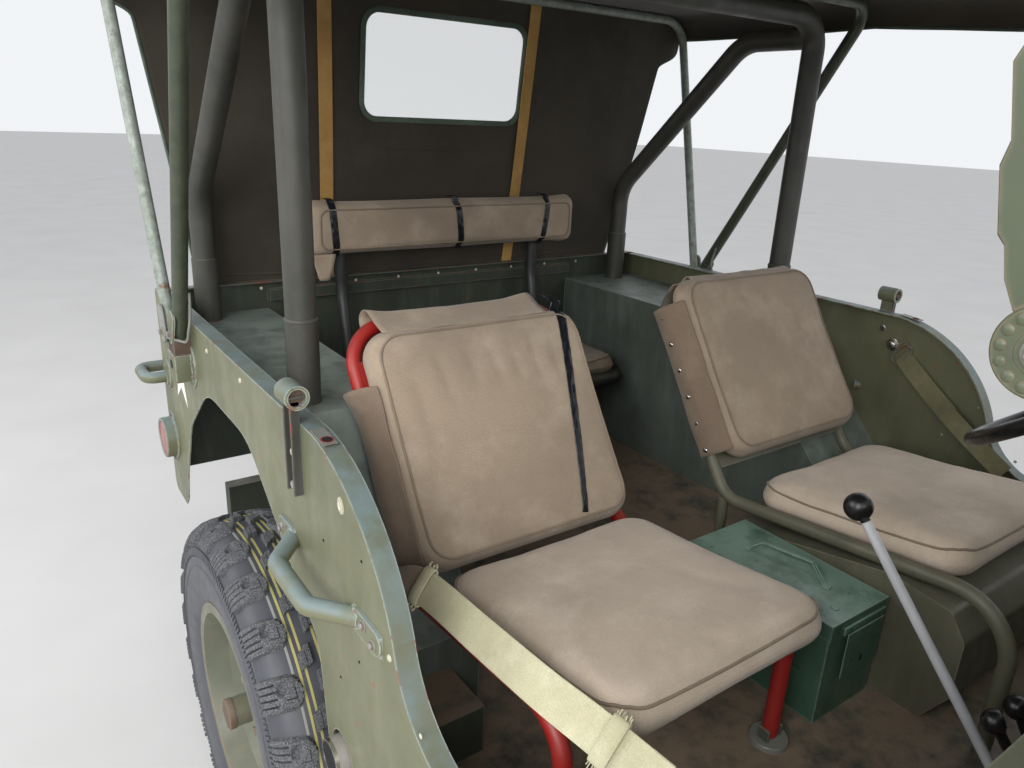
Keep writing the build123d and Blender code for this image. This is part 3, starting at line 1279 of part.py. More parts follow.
# Stowage box between the seats, with a lid hinged at its rear end
BOX_X = 33
BOX_FRONT_FROM_AXLE = -709
BOX_WALL = 1.5
LID_HEIGHT = 28
LID_RIM = 4
BOX_Y = REAR_AXLE_Y + BOX_FRONT_FROM_AXLE
BOX_REAR_Y = BOX_Y + BOX_LENGTH
BOX_TOP = FLOOR_TOP + BOX_HEIGHT
BOX_BODY_TOP = BOX_TOP - LID_HEIGHT
HINGE_RADIUS = 4
HINGE_Y = BOX_REAR_Y + HINGE_RADIUS + 2
HINGE_Z = BOX_BODY_TOP - 10

with BuildPart() as stowage_box:
    low = BOX_WIDTH / 2 - LID_RIM
    x_range = (BOX_X - low, BOX_X + low)
    y_range = (BOX_Y + LID_RIM, BOX_REAR_Y - LID_RIM)
    block(x_range, y_range, (FLOOR_TOP, BOX_BODY_TOP - RUNNING_GAP))
    block(
        (x_range[0] + BOX_WALL, x_range[1] - BOX_WALL),
        (y_range[0] + BOX_WALL, y_range[1] - BOX_WALL),
        (FLOOR_TOP + BOX_WALL, BOX_TOP),
        mode=Mode.SUBTRACT,
    )
    block((BOX_X - 30, BOX_X + 30), (y_range[1] - BOX_WALL, HINGE_Y), (HINGE_Z - 20, HINGE_Z))
    rod((BOX_X - 30, HINGE_Y, HINGE_Z), (BOX_X + 30, HINGE_Y, HINGE_Z), HINGE_RADIUS)
save(stowage_box, "stowage_box")

with BuildPart() as stowage_lid:
    x_range = (BOX_X - BOX_WIDTH / 2, BOX_X + BOX_WIDTH / 2)
    block(x_range, (BOX_Y, BOX_REAR_Y), (BOX_BODY_TOP, BOX_TOP))
    block(
        (x_range[0] + BOX_WALL, x_range[1] - BOX_WALL),
        (BOX_Y + BOX_WALL, BOX_REAR_Y - BOX_WALL),
        (BOX_BODY_TOP - 1, BOX_TOP - BOX_WALL),
        mode=Mode.SUBTRACT,
    )
    leaf_z = HINGE_Z + HINGE_RADIUS + RUNNING_GAP
    block((BOX_X - 26, BOX_X + 26), (BOX_REAR_Y - BOX_WALL, BOX_REAR_Y), (leaf_z, BOX_BODY_TOP))
    block((BOX_X - 26, BOX_X + 26), (BOX_REAR_Y - BOX_WALL, HINGE_Y + HINGE_RADIUS), (leaf_z, leaf_z + 2))
save(stowage_lid, "stowage_lid")

# Engine block on its mount bar, with the radiator ahead of it on the rails
ENGINE_Y = FIREWALL_Y - 60
ENGINE_LENGTH = 560
ENGINE_WIDTH = 330
ENGINE_BOTTOM = 420
ENGINE_TOP = 880
SHAFT_RADIUS = 25
MOUNT_THICKNESS = 12
RADIATOR_DEPTH = 60

with BuildPart() as engine_and_radiator:
    block((-ENGINE_WIDTH / 2, ENGINE_WIDTH / 2), (ENGINE_Y - ENGINE_LENGTH, ENGINE_Y), (ENGINE_BOTTOM, ENGINE_TOP))
    mount_y = ENGINE_Y - 240
    block((-FRAME_HALF, FRAME_HALF), (mount_y, mount_y + 50), (FRAME_TOP, FRAME_TOP + MOUNT_THICKNESS))
    radiator_y = GRILLE_Y + 40
    block((-FRAME_HALF, FRAME_HALF), (radiator_y, radiator_y + RADIATOR_DEPTH), (FRAME_TOP, FRAME_TOP + MOUNT_THICKNESS))
    block((-235, 235), (radiator_y, radiator_y + RADIATOR_DEPTH), (FRAME_TOP, GRILLE_TOP - 40))
save(engine_and_radiator, "engine_and_radiator")

# Gearbox and transfer case with the two propeller shafts to the axle pinions
FLANGE_RADIUS = 45
GEARBOX_HALF = 130
SHAFT_GAP = 0.3
TRANSFER_Y = REAR_AXLE_Y - 890
TRANSFER_LENGTH = 260

with BuildPart() as driveline:
    gearbox_front = ENGINE_Y + SHAFT_GAP
    block((-GEARBOX_HALF, GEARBOX_HALF), (gearbox_front, gearbox_front + 170), (ENGINE_BOTTOM, FLOOR_BOTTOM - 1))
    block((-60, 60), (gearbox_front + 170, TRANSFER_Y), (ENGINE_BOTTOM - 40, FRAME_TOP - 10))
    block(
        (DIFFERENTIAL_X - 70, 110),
        (TRANSFER_Y, TRANSFER_Y + TRANSFER_LENGTH - 60),
        (ENGINE_BOTTOM - 60, FRAME_TOP - 45),
    )
    for start_y, end_y in (
        (TRANSFER_Y, FRONT_AXLE_Y + PINION_LENGTH + SHAFT_GAP),
        (TRANSFER_Y + TRANSFER_LENGTH - 60, REAR_AXLE_Y - PINION_LENGTH - SHAFT_GAP),
    ):
        towards = 1 if end_y > start_y else -1
        flange_y = end_y - towards * 25
        rod((DIFFERENTIAL_X, end_y, AXLE_Z), (DIFFERENTIAL_X, flange_y, AXLE_Z), FLANGE_RADIUS)
        rod((DIFFERENTIAL_X, flange_y, AXLE_Z), (DIFFERENTIAL_X, start_y, AXLE_Z + 25), SHAFT_RADIUS)
save(driveline, "driveline")

# Exhaust: down pipe, muffler under the floor and tail pipe out through the right side
PIPE_RADIUS = 27
MUFFLER_RADIUS = 62
MUFFLER_X = -(FRAME_HALF + 98)
DOWN_PIPE_X = -(FRAME_HALF + 28)
TAIL_PIPE_X = (MUFFLER_X - 3 * BODY_HALF) / 4
MUFFLER_Z = 455
EXHAUST_Y = REAR_AXLE_Y + PIPE_HOLE_FROM_AXLE

with BuildPart() as exhaust:
    rod((MUFFLER_X, EXHAUST_Y - 560, MUFFLER_Z), (MUFFLER_X, EXHAUST_Y - 130, MUFFLER_Z), MUFFLER_RADIUS)
    tube(
        (
            (-ENGINE_WIDTH / 2 - SHAFT_GAP, ENGINE_Y - 320, FRAME_TOP + 90),
            (DOWN_PIPE_X, ENGINE_Y - 320, FRAME_TOP + 90),
            (MUFFLER_X, ENGINE_Y - 80, MUFFLER_Z),
            (MUFFLER_X, EXHAUST_Y - 550, MUFFLER_Z),
        ),
        60,
        PIPE_RADIUS,
    )
    tube(
        (
            (MUFFLER_X, EXHAUST_Y - 140, MUFFLER_Z),
            (MUFFLER_X, EXHAUST_Y - 40, MUFFLER_Z + 10),
            (TAIL_PIPE_X, EXHAUST_Y, PIPE_HOLE_Z),
            (-BODY_HALF - 18, EXHAUST_Y, PIPE_HOLE_Z),
        ),
        [45, 45],
        PIPE_RADIUS,
    )
    rod(
        (-BODY_HALF - 19, EXHAUST_Y, PIPE_HOLE_Z),
        (-BODY_HALF + 40, EXHAUST_Y, PIPE_HOLE_Z),
        PIPE_RADIUS - 3,
        mode=Mode.SUBTRACT,
    )
save(exhaust, "exhaust")

# Steering column through the toe board, and the steering wheel on its end
RIM_TUBE = 12
STEERING_HUB = 34

with BuildPart() as steering_wheel:
    with BuildSketch(Plane(origin=STEERING_CENTRE, x_dir=(1, 0, 0), z_dir=STEERING_PLANE.y_dir)) as rim_section:
        with Locations((STEERING_WHEEL_RADIUS - RIM_TUBE, 0)):
            Circle(RIM_TUBE)
    revolve(rim_section.sketch, axis=Axis(STEERING_CENTRE, STEERING_UP))
    hub_low = STEERING_CENTRE - STEERING_UP * COLUMN_START
    rod(tuple(hub_low), tuple(STEERING_CENTRE - STEERING_UP * 12), STEERING_HUB)
    for turn in (90, 210, 330):
        out = STEERING_PLANE.x_dir * cos(radians(turn)) + STEERING_PLANE.y_dir * sin(radians(turn))
        tip = STEERING_CENTRE + out * (STEERING_WHEEL_RADIUS - RIM_TUBE)
        rod(tuple(STEERING_CENTRE - STEERING_UP * 26), tuple(tip), 6)
save(steering_wheel, "steering_wheel")

# Controls: steering column with its box on the frame, floor levers and pedals
# Each lever: foot (x, y from the axle), ball centre (x, y from the axle, z), ball radius
LEVERS = (
    ((0, -1010), (-63, -717, 936), 20),
    ((60, -1000), (-10, -930, 700), 17),
    ((95, -1000), (60, -930, 690), 17),
)
LEVER_PLATE = 24
LEVER_RADIUS = 7
STEERING_BOX_TOP = 560
PEDAL_XS = (190, 265, 430)
PEDAL_FROM_AXLE = -1090
PEDAL_Z = 655

with BuildPart() as controls:
    pedal_y = REAR_AXLE_Y + PEDAL_FROM_AXLE
    for x in PEDAL_XS:
        block((x - 28, x + 28), (pedal_y, pedal_y + 10), (PEDAL_Z - 28, PEDAL_Z + 28))
        block((x - 8, x + 8), (pedal_y - 30, pedal_y + 2), (FLOOR_TOP, PEDAL_Z))
    under_toe = ((DASH_Y, 0), (DASH_Y, FLOOR_TOP), (FIREWALL_Y, TOE_TOP_Z), (FIREWALL_Y, 0))
    side_plate(0, under_toe, BODY_INNER, mode=Mode.SUBTRACT)
    top = STEERING_CENTRE - STEERING_UP * (COLUMN_START + SHAFT_GAP)
    foot = STEERING_CENTRE - STEERING_UP * COLUMN_END
    rod(tuple(top), tuple(foot), COLUMN_RADIUS)
    block((STEERING_X - 30, STEERING_X + 30), (foot.Y - 5, foot.Y + 55), (FRAME_TOP, STEERING_BOX_TOP))
    block((-30, 125), (REAR_AXLE_Y - 1040, REAR_AXLE_Y - 970), (FLOOR_TOP, FLOOR_TOP + LEVER_PLATE))
    for foot, tip, ball in LEVERS:
        start = (foot[0], REAR_AXLE_Y + foot[1], FLOOR_TOP + LEVER_PLATE / 2)
        end = (tip[0], REAR_AXLE_Y + tip[1], tip[2])
        rod(start, end, LEVER_RADIUS)
        with Locations(end):
            Sphere(ball)
save(controls, "controls")
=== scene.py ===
"""Looks for the army 4x4 car: materials, tyres with tread, cushions, canvas, webbing and small fittings.

Lengths are in metres. The car faces -Y, its left is +X, and the floor is at Z = 0.
"""

from math import atan, atan2, copysign, cos, exp, hypot, pi, radians, sin, sqrt, tan

import bmesh
import bpy
from mathutils import Matrix, Vector, noise
from mathutils.bvhtree import BVHTree


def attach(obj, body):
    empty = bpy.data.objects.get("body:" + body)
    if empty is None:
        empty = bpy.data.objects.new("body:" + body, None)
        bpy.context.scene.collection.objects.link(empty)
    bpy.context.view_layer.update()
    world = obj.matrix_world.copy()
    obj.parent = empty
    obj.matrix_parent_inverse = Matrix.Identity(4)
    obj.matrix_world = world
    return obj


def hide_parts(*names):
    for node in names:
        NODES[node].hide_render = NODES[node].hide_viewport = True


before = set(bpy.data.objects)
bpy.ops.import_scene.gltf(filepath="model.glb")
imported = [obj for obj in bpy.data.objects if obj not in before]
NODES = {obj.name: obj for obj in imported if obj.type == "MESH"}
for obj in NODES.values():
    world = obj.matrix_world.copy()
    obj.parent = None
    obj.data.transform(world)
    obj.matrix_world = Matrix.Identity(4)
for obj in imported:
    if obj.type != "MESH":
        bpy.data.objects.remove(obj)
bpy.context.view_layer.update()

# Places that repeat the part's own, in metres
FRONT_AXLE_Y = -1.154
REAR_AXLE_Y = 0.878
AXLE_Z = 0.362
WHEEL_X = 0.69
BODY_HALF = 0.709
REAR_PANEL_Y = 1.482
FLOOR_TOP = 0.534
WHEEL_BOX_TOP = 0.971
GRILLE_FRONT = -1.3413
LAMP_X = 0.372
LAMP_Z = 0.8
MARKER_Z = 0.66
MARKER_RADIUS = 0.024
BUMPER_FRONT = -1.677
BUMPER_MIDDLE_Z = 0.5
LID_TOP = 0.721

# Camera
PHOTO_WIDTH = 1024
FOCAL_PIXELS = 765
SENSOR = 36
YAW = 0.622
PITCH = 0.335
ROLL = 0.044
CAMERA_PLACE = Vector((-1.025, -0.335, 1.431))
NEAR_CLIP = 0.02
FLOOR_HALF = 40


def make_camera():
    """The camera at the photograph's place, turned by yaw, pitch and roll."""
    data = bpy.data.cameras.new("camera")
    camera = bpy.data.objects.new("camera", data)
    bpy.context.collection.objects.link(camera)
    data.sensor_width = SENSOR
    data.lens = FOCAL_PIXELS / PHOTO_WIDTH * SENSOR
    data.clip_start = NEAR_CLIP
    forward = Vector((sin(YAW) * cos(PITCH), cos(YAW) * cos(PITCH), -sin(PITCH)))
    flat_right = Vector((cos(YAW), -sin(YAW), 0))
    flat_up = flat_right.cross(forward)
    right = flat_right * cos(ROLL) + flat_up * sin(ROLL)
    up = -flat_right * sin(ROLL) + flat_up * cos(ROLL)
    turn = Matrix((right, up, -forward)).transposed().to_4x4()
    camera.matrix_world = Matrix.Translation(CAMERA_PLACE) @ turn
    bpy.context.scene.camera = camera


make_camera()


def feed(tree, value, socket):
    """Give a socket a number, a colour or another node's output."""
    if isinstance(value, tuple):
        socket.default_value = (*value, 1)
    elif isinstance(value, (int, float)):
        socket.default_value = value
    else:
        tree.links.new(value, socket)


class Graph:
    """A material's node graph around one principled shader."""

    def __init__(self, name):
        self.material = bpy.data.materials.new(name)
        self.material.use_nodes = True
        self.tree = self.material.node_tree
        self.tree.nodes.clear()
        output = self.add("OutputMaterial")
        self.shader = self.add("BsdfPrincipled")
        feed(self.tree, self.shader.outputs[0], output.inputs["Surface"])
        self.place = self.add("TexCoord").outputs["Object"]

    def add(self, kind, inputs=None, **values):
        """A node, with its inputs by name or number and its own settings."""
        node = self.tree.nodes.new(f"ShaderNode{kind}")
        for key, value in values.items():
            setattr(node, key, value)
        for key, value in (inputs or {}).items():
            feed(self.tree, value, node.inputs[key])
        return node

    def noise(self, scale, detail=4, roughness=0.55, stretch=None):
        place = self.place
        if stretch:
            mapping = self.add("Mapping", {"Vector": place})
            mapping.inputs["Scale"].default_value = stretch
            place = mapping.outputs[0]
        inputs = {"Scale": scale, "Detail": detail, "Roughness": roughness, "Vector": place}
        return self.add("TexNoise", inputs).outputs[0]

    def ramp(self, value, low, high, first=(0, 0, 0), last=(1, 1, 1)):
        node = self.add("ValToRGB", {0: value})
        for stop, position, colour in zip(node.color_ramp.elements, (low, high), (first, last)):
            stop.position, stop.color = position, (*colour, 1)
        return node.outputs[0]

    def mix(self, amount, first, second, blend="MIX"):
        """first where amount is 0 and second where it is 1. A tuple is a plain colour."""
        node = self.add("Mix", {0: amount, 6: first, 7: second}, data_type="RGBA", blend_type=blend)
        return node.outputs[2]

    def math(self, operation, first, second=0.0):
        return self.add("Math", {0: first, 1: second}, operation=operation).outputs[0]

    def bump(self, height, strength, distance, normal=None):
        inputs = {"Strength": strength, "Distance": distance, "Height": height}
        if normal is not None:
            inputs["Normal"] = normal
        return self.add("Bump", inputs).outputs[0]

    def edges(self, radius):
        """1 on sharp outer edges and 0 on flats, from how far the rounded normal leans away."""
        bevel = self.add("Bevel", {"Radius": radius}, samples=4)
        geometry = self.add("NewGeometry")
        dot = self.add("VectorMath", {0: bevel.outputs[0], 1: geometry.outputs["Normal"]}, operation="DOT_PRODUCT")
        return self.ramp(dot.outputs["Value"], 0.8, 0.99, (1, 1, 1), (0, 0, 0))

    def upward(self):
        """1 where the surface faces up."""
        parts = self.add("SeparateXYZ", {0: self.add("NewGeometry").outputs["Normal"]})
        return self.ramp(parts.outputs["Z"], 0.1, 0.7)

    def finish(self, colour, roughness, normal=None, **values):
        feed(self.tree, colour, self.shader.inputs["Base Color"])
        feed(self.tree, roughness, self.shader.inputs["Roughness"])
        if normal is not None:
            feed(self.tree, normal, self.shader.inputs["Normal"])
        for name, value in values.items():
            self.shader.inputs[name.replace("_", " ")].default_value = value
        return self.material


def srgb(red, green, blue):
    """A colour read from 0 to 255 values, as linear light."""
    return tuple(((v / 255 + 0.055) / 1.055) ** 2.4 if v > 10 else v / 255 / 12.92 for v in (red, green, blue))


def grey(value):
    return (value,) * 3


PRIMER = srgb(168, 66, 58)
DUST = srgb(150, 146, 128)
# How far into a primer speck's noise its edge lies, from nothing to full
CHIP_FROM, CHIP_TO = 0.1, 0.115


def paint(name, colour, shade, worn, primer=None, dust=0.25, gloss=0.45, chips=0.62, edge=0.9, line=None, top=None):
    """Old brushed paint: blotches, scratches, worn edges, primer specks, and a top colour on upward faces: dust, brown
    dirt on the floor and rear panel, and a painted blue highlight on the side panels' lip.
    """
    g = Graph(name)
    base = g.mix(g.ramp(g.noise(5, 6, 0.6), 0.35, 0.68), colour, shade)
    streak = g.ramp(g.noise(30, 5, 0.6, (1, 1, 0.16)), 0.5, 0.72)
    base = g.mix(g.math("MULTIPLY", streak, 0.14), base, worn)
    fine = g.ramp(g.noise(160, 6, 0.7), 0.66, 0.72)
    base = g.mix(g.math("MULTIPLY", fine, 0.35), base, worn)
    rounded = g.edges(0.004)
    rim = g.math("MULTIPLY", rounded, g.ramp(g.noise(45, 6, 0.7), 0.3, 0.5))
    base = g.mix(g.math("MULTIPLY", rim, edge), base, line or worn)
    if primer:
        chip = g.ramp(g.noise(70, 3, 0.5), chips + CHIP_FROM, chips + CHIP_TO)
        base = g.mix(g.math("MULTIPLY", chip, 0.85), base, primer)
        knock = g.math("MULTIPLY", rounded, g.ramp(g.noise(38, 5, 0.6), 0.58, 0.6))
        base = g.mix(knock, base, primer)
    # Upward faces take the top colour in patches by this amount: dust and dirt on most paints, a painted highlight on
    # the side panels' lip.
    dust_and_sheen_patches = g.ramp(g.noise(14, 6, 0.65), *((0.3, 0.55) if top else (0.35, 0.75)))
    base = g.mix(g.math("MULTIPLY", g.math("MULTIPLY", g.upward(), dust_and_sheen_patches), dust), base, top or DUST)
    rough = g.ramp(g.noise(22, 5, 0.6), 0.3, 0.75, grey(gloss - 0.08), grey(gloss + 0.2))
    normal = g.bump(g.noise(240, 3, 0.5), 0.1, 0.0006)
    return g.finish(base, rough, g.bump(g.noise(9, 3, 0.5), 0.25, 0.003, normal))


def fabric(name, colour, shade, worn, period=0.0018, patch=3.5):
    """Woven cloth: crossed threads, faded and soiled patches."""
    g = Graph(name)
    base = g.mix(g.ramp(g.noise(patch, 5, 0.6), 0.34, 0.68), colour, shade)
    faded = g.ramp(g.noise(patch * 2.7, 6, 0.65), 0.48, 0.74)
    base = g.mix(g.math("MULTIPLY", faded, 0.55), base, worn)
    speck = g.ramp(g.noise(1 / period, 2, 0.5), 0.3, 0.7, grey(0.78), grey(1.12))
    base = g.mix(0.5, base, speck, "MULTIPLY")
    waves = []
    for direction in "XYZ":
        inputs = {"Scale": 0.314 / period, "Distortion": 0.6, "Vector": g.place}
        waves.append(g.add("TexWave", inputs, bands_direction=direction).outputs[1])
    height = g.math("ADD", g.math("ADD", waves[0], waves[1]), waves[2])
    normal = g.bump(g.noise(60, 5, 0.6), 0.22, 0.002, g.bump(height, 0.22, 0.0006))
    return g.finish(base, 0.92, normal, Sheen_Weight=0.15, Sheen_Roughness=0.5)


def plain(name, colour, rough, **values):
    """A smooth moulded or polished surface with faint unevenness."""
    g = Graph(name)
    base = g.mix(g.ramp(g.noise(12, 4), 0.3, 0.7), colour, tuple(0.8 * c for c in colour))
    uneven = g.ramp(g.noise(35, 4), 0.3, 0.7, grey(max(rough - 0.06, 0.03)), grey(rough + 0.1))
    return g.finish(base, uneven, g.bump(g.noise(140, 3), 0.08, 0.0006), **values)


def speckled(name, colour, grain, rough):
    """Scuffed rubber with a coarse grain."""
    g = Graph(name)
    speck = g.ramp(g.noise(420, 4, 0.65), 0.44, 0.66)
    base = g.mix(speck, g.mix(g.ramp(g.noise(20, 4), 0.3, 0.7), colour, tuple(0.75 * c for c in colour)), grain)
    return g.finish(base, rough, g.bump(g.noise(420, 4, 0.65), 0.45, 0.0012))


def glass(name, tint, rough):
    """Clear glass or sheet seen through."""
    g = Graph(name)
    smear = g.ramp(g.noise(9, 5, 0.6), 0.4, 0.8, grey(rough), grey(rough + 0.06))
    material = g.finish(tint, smear, None, Alpha=0.16, IOR=1.45)
    material.surface_render_method = "BLENDED"
    return material


def two_bows(name, silver, silver_worn, stain, green, green_worn):
    """The rear bow in worn silver grey and the front one in olive, parted at the pivot."""
    g = Graph(name)
    parts = g.add("SeparateXYZ", {0: g.place})
    behind = g.math("GREATER_THAN", parts.outputs["Y"], 1.2)
    rear = g.mix(g.ramp(g.noise(60, 6, 0.7), 0.35, 0.7), silver, silver_worn)
    rear = g.mix(g.ramp(g.noise(26, 6, 0.7), 0.6, 0.68), rear, stain)
    front = g.mix(g.ramp(g.noise(40, 5, 0.6), 0.4, 0.7), green, green_worn)
    rough = g.ramp(g.noise(30, 5, 0.6), 0.3, 0.7, grey(0.3), grey(0.55))
    return g.finish(g.mix(behind, front, rear), rough, g.bump(g.noise(160, 3, 0.5), 0.1, 0.0006))


# Painted metal: name, colour, shade, worn and what else differs
EDGE_PALE = srgb(190, 200, 190)
# Painted highlight: the sky's blue sheen on the side panels' upward-facing lip.
LIP_PAINTED_HIGHLIGHT = srgb(118, 136, 140)
BODY = ((112, 112, 86), (94, 97, 74), (150, 156, 136))
PAINTS = (
    ("body_paint", *BODY, {"primer": PRIMER, "dust": 0.35, "top": srgb(134, 138, 120)}),
    # The side panels' paint: pale worn edges, and a painted blue highlight on their upward faces.
    ("side_paint", *BODY, {"primer": PRIMER, "dust": 0.75, "line": EDGE_PALE, "top": LIP_PAINTED_HIGHLIGHT}),
    ("wheel_box_paint", (100, 108, 100), (78, 86, 78), (160, 170, 166), {"dust": 0.75, "top": srgb(140, 150, 142)}),
    (
        "inside_paint", (62, 68, 57), (48, 54, 45), (120, 128, 118),
        {"primer": PRIMER, "dust": 0.8, "top": srgb(128, 112, 98)},
    ),
    ("floor_paint", (78, 84, 75), (58, 64, 56), (130, 136, 124), {"dust": 0.85, "top": srgb(150, 130, 110)}),
    ("chassis", (62, 66, 54), (46, 49, 42), (92, 90, 78), {"dust": 0.6, "gloss": 0.6}),
    ("engine_paint", (84, 96, 86), (62, 70, 62), (110, 112, 100), {"gloss": 0.5}),
    ("rim_paint", (104, 108, 90), (86, 90, 76), (165, 112, 84), {"gloss": 0.4, "edge": 1.0}),
    ("cage_paint", (70, 69, 63), (52, 52, 47), (106, 104, 96), {"primer": PRIMER, "chips": 0.66}),
    ("bow_steel", (142, 145, 140), (112, 116, 110), (104, 82, 68), {"gloss": 0.34}),
    ("bow_green", (84, 92, 70), (68, 76, 58), (120, 108, 88), {"gloss": 0.42}),
    ("dark_steel", (54, 56, 54), (40, 42, 40), (92, 92, 86), {"gloss": 0.4}),
    ("seat_red", (170, 34, 30), (140, 28, 26), (96, 98, 82), {"dust": 0.1, "gloss": 0.35}),
    ("seat_green", (100, 98, 80), (82, 81, 67), (138, 134, 116), {"primer": PRIMER, "chips": 0.66}),
    (
        "box_paint", (70, 100, 84), (54, 82, 68), (136, 164, 148),
        {"gloss": 0.32, "dust": 0.8, "top": srgb(134, 162, 148)},
    ),
    ("rust", (104, 80, 62), (72, 56, 46), (150, 140, 126), {"gloss": 0.6}),
    ("worn_steel", (196, 190, 168), (150, 144, 124), (226, 222, 206), {"gloss": 0.35}),
    ("star_white", (236, 236, 230), (216, 216, 208), (200, 202, 190), {"dust": 0.1}),
    ("exhaust_steel", (150, 146, 140), (110, 104, 98), (190, 188, 182), {"gloss": 0.3}),
)
# Cloth: the same, with the thread's period in metres and the patches' scale
CLOTHS = (
    ("canvas", (96, 92, 68), (82, 80, 60), (116, 112, 88), {"period": 0.0022, "patch": 2.0}),
    ("canvas_inside", (66, 60, 50), (54, 49, 42), (80, 74, 62), {"period": 0.0022, "patch": 2.0}),
    ("piping", (140, 124, 104), (118, 104, 88), (168, 152, 130), {}),
    ("cushion", (166, 148, 127), (142, 127, 110), (194, 177, 157), {}),
    # A paler copy of the cushion cloth for the seat pads: painted light on their upward faces.
    ("cushion_top", (204, 187, 168), (172, 156, 138), (224, 209, 192), {}),
    ("cushion_dark", (138, 119, 101), (112, 97, 82), (168, 150, 130), {}),
    ("binding", (88, 104, 88), (70, 86, 72), (128, 142, 124), {"period": 0.0016}),
    ("strap_ochre", (190, 150, 84), (164, 126, 68), (206, 170, 108), {"period": 0.0024, "patch": 6}),
    ("belt_khaki", (206, 201, 168), (184, 178, 144), (222, 218, 190), {"period": 0.002, "patch": 8}),
    ("belt_olive", (124, 120, 90), (106, 102, 76), (146, 142, 112), {"period": 0.002, "patch": 8}),
)
# Smooth and moulded surfaces: name, colour, roughness and metal
SMOOTHS = (
    ("black_parts", (24, 24, 25), 0.28, {}),
    ("tyre", (74, 76, 82), 0.46, {}),
    ("stripe_yellow", (176, 168, 104), 0.7, {}),
    ("stripe_grey", (150, 148, 144), 0.7, {}),
    # Near-black for holes, slots and small dark domes: painted shade where a hole's inside lies.
    ("dark_hole", (14, 14, 14), 0.9, {}),
    ("red_lens", (150, 26, 34), 0.18, {}),
    ("polished", (214, 216, 220), 0.14, {"Metallic": 0.25}),
    ("lamp_glass", (150, 156, 156), 0.06, {}),
    ("lamp_lens", (196, 194, 184), 0.12, {}),
    ("tape", (26, 28, 33), 0.24, {}),
    ("bright_steel", (196, 194, 188), 0.22, {"Metallic": 1.0}),
)
MATERIALS = {
    "tyre_lug": speckled("tyre_lug", srgb(70, 71, 74), srgb(116, 118, 120), 0.85),
    "glass": glass("glass", srgb(205, 214, 210), 0.03),
    "clear_sheet": glass("clear_sheet", srgb(214, 218, 206), 0.12),
    "bows": two_bows(
        "bows", srgb(150, 160, 152), srgb(112, 116, 104), srgb(112, 84, 64), srgb(68, 74, 58), srgb(56, 62, 48)
    ),
}
for make, table in ((paint, PAINTS), (fabric, CLOTHS)):
    for name, *colours, values in table:
        MATERIALS[name] = make(name, *(srgb(*colour) for colour in colours), **values)
for name, colour, rough, values in SMOOTHS:
    MATERIALS[name] = plain(name, srgb(*colour), rough, **values)

# CAD nodes by the material that each gets
PLACES = ("front_left", "front_right", "rear_left", "rear_right")
DRESS = {
    "chassis": "chassis_frame driveline front_axle knuckle_left knuckle_right rear_axle tie_rod",
    "body_paint": "cowl fenders grille hood windshield_frame",
    "side_paint": "side_panel_left side_panel_right",
    "inside_paint": "rear_panel",
    "floor_paint": "tub_floor",
    "wheel_box_paint": "wheel_boxes",
    "cage_paint": "roll_cage",
    "bows": "top_bows",
    "black_parts": "controls steering_wheel",
    "seat_green": "driver_seat_frame fuel_tank",
    "seat_red": "passenger_seat_frame",
    "dark_steel": "rear_seat_frame",
    "box_paint": "stowage_box stowage_lid",
    "engine_paint": "engine_and_radiator",
    "exhaust_steel": "exhaust",
    "lamp_lens": "lamps",
    "glass": "windshield_glass",
    "clear_sheet": "rear_window",
    "canvas": "canvas_top",
    "cushion": "driver_cushions passenger_cushions rear_cushions",
    "rim_paint": " ".join(("spare_rim", *(f"rim_{place}" for place in PLACES))),
    "tyre": " ".join(("spare_tyre", *(f"tyre_{place}" for place in PLACES))),
}
for material, nodes in DRESS.items():
    for node in nodes.split():
        NODES[node].data.materials.clear()
        NODES[node].data.materials.append(MATERIALS[material])


def stage():
    """A pale floor, a pale world and soft lamps."""
    scene = bpy.context.scene
    scene.view_settings.view_transform = "Standard"
    mesh = bpy.data.meshes.new("floor")
    half = FLOOR_HALF
    mesh.from_pydata([(-half, -half, 0), (half, -half, 0), (half, half, 0), (-half, half, 0)], [], [(0, 1, 2, 3)])
    floor = bpy.data.objects.new("floor", mesh)
    bpy.context.collection.objects.link(floor)
    g = Graph("floor")
    colour = g.mix(g.ramp(g.noise(2, 3), 0.3, 0.7), (0.6, 0.59, 0.58), (0.64, 0.63, 0.62))
    mesh.materials.append(g.finish(colour, 0.9))
    world = bpy.data.worlds.new("world")
    scene.world = world
    world.use_nodes = True
    nodes, links = world.node_tree.nodes, world.node_tree.links
    background = nodes["Background"]
    path = nodes.new("ShaderNodeLightPath")
    seen = path.outputs["Is Camera Ray"]
    for ray in ("Is Glossy Ray", "Is Transmission Ray"):
        either = nodes.new("ShaderNodeMath")
        either.operation = "MAXIMUM"
        links.new(seen, either.inputs[0])
        links.new(path.outputs[ray], either.inputs[1])
        seen = either.outputs[0]
    strength = nodes.new("ShaderNodeMapRange")
    strength.inputs["To Min"].default_value = 0.85
    strength.inputs["To Max"].default_value = 0.95
    links.new(seen, strength.inputs["Value"])
    links.new(strength.outputs[0], background.inputs["Strength"])
    background.inputs["Color"].default_value = (0.93, 0.95, 0.98, 1)
    for name, place, target, size, power in (
        ("key", (-4.3, -2.2, 3.5), (0, 0.4, 0.8), 3.0, 190),
        ("side", (-4.5, 2.5, 3.0), (0, 0.6, 0.8), 3.0, 80),
        ("front", (-1.6, -5.0, 2.8), (0, 0.3, 0.9), 3.0, 150),
    ):
        data = bpy.data.lights.new(name, "AREA")
        data.size = size
        data.energy = power
        lamp = bpy.data.objects.new(name, data)
        bpy.context.collection.objects.link(lamp)
        lamp.location = place
        lamp.rotation_euler = (Vector(target) - Vector(place)).to_track_quat("-Z", "Y").to_euler()


stage()


def swell(x, y, z):
    """Smooth noise from -1 to 1 at a place."""
    return noise.noise(Vector((x, y, z)))


# Mesh helpers


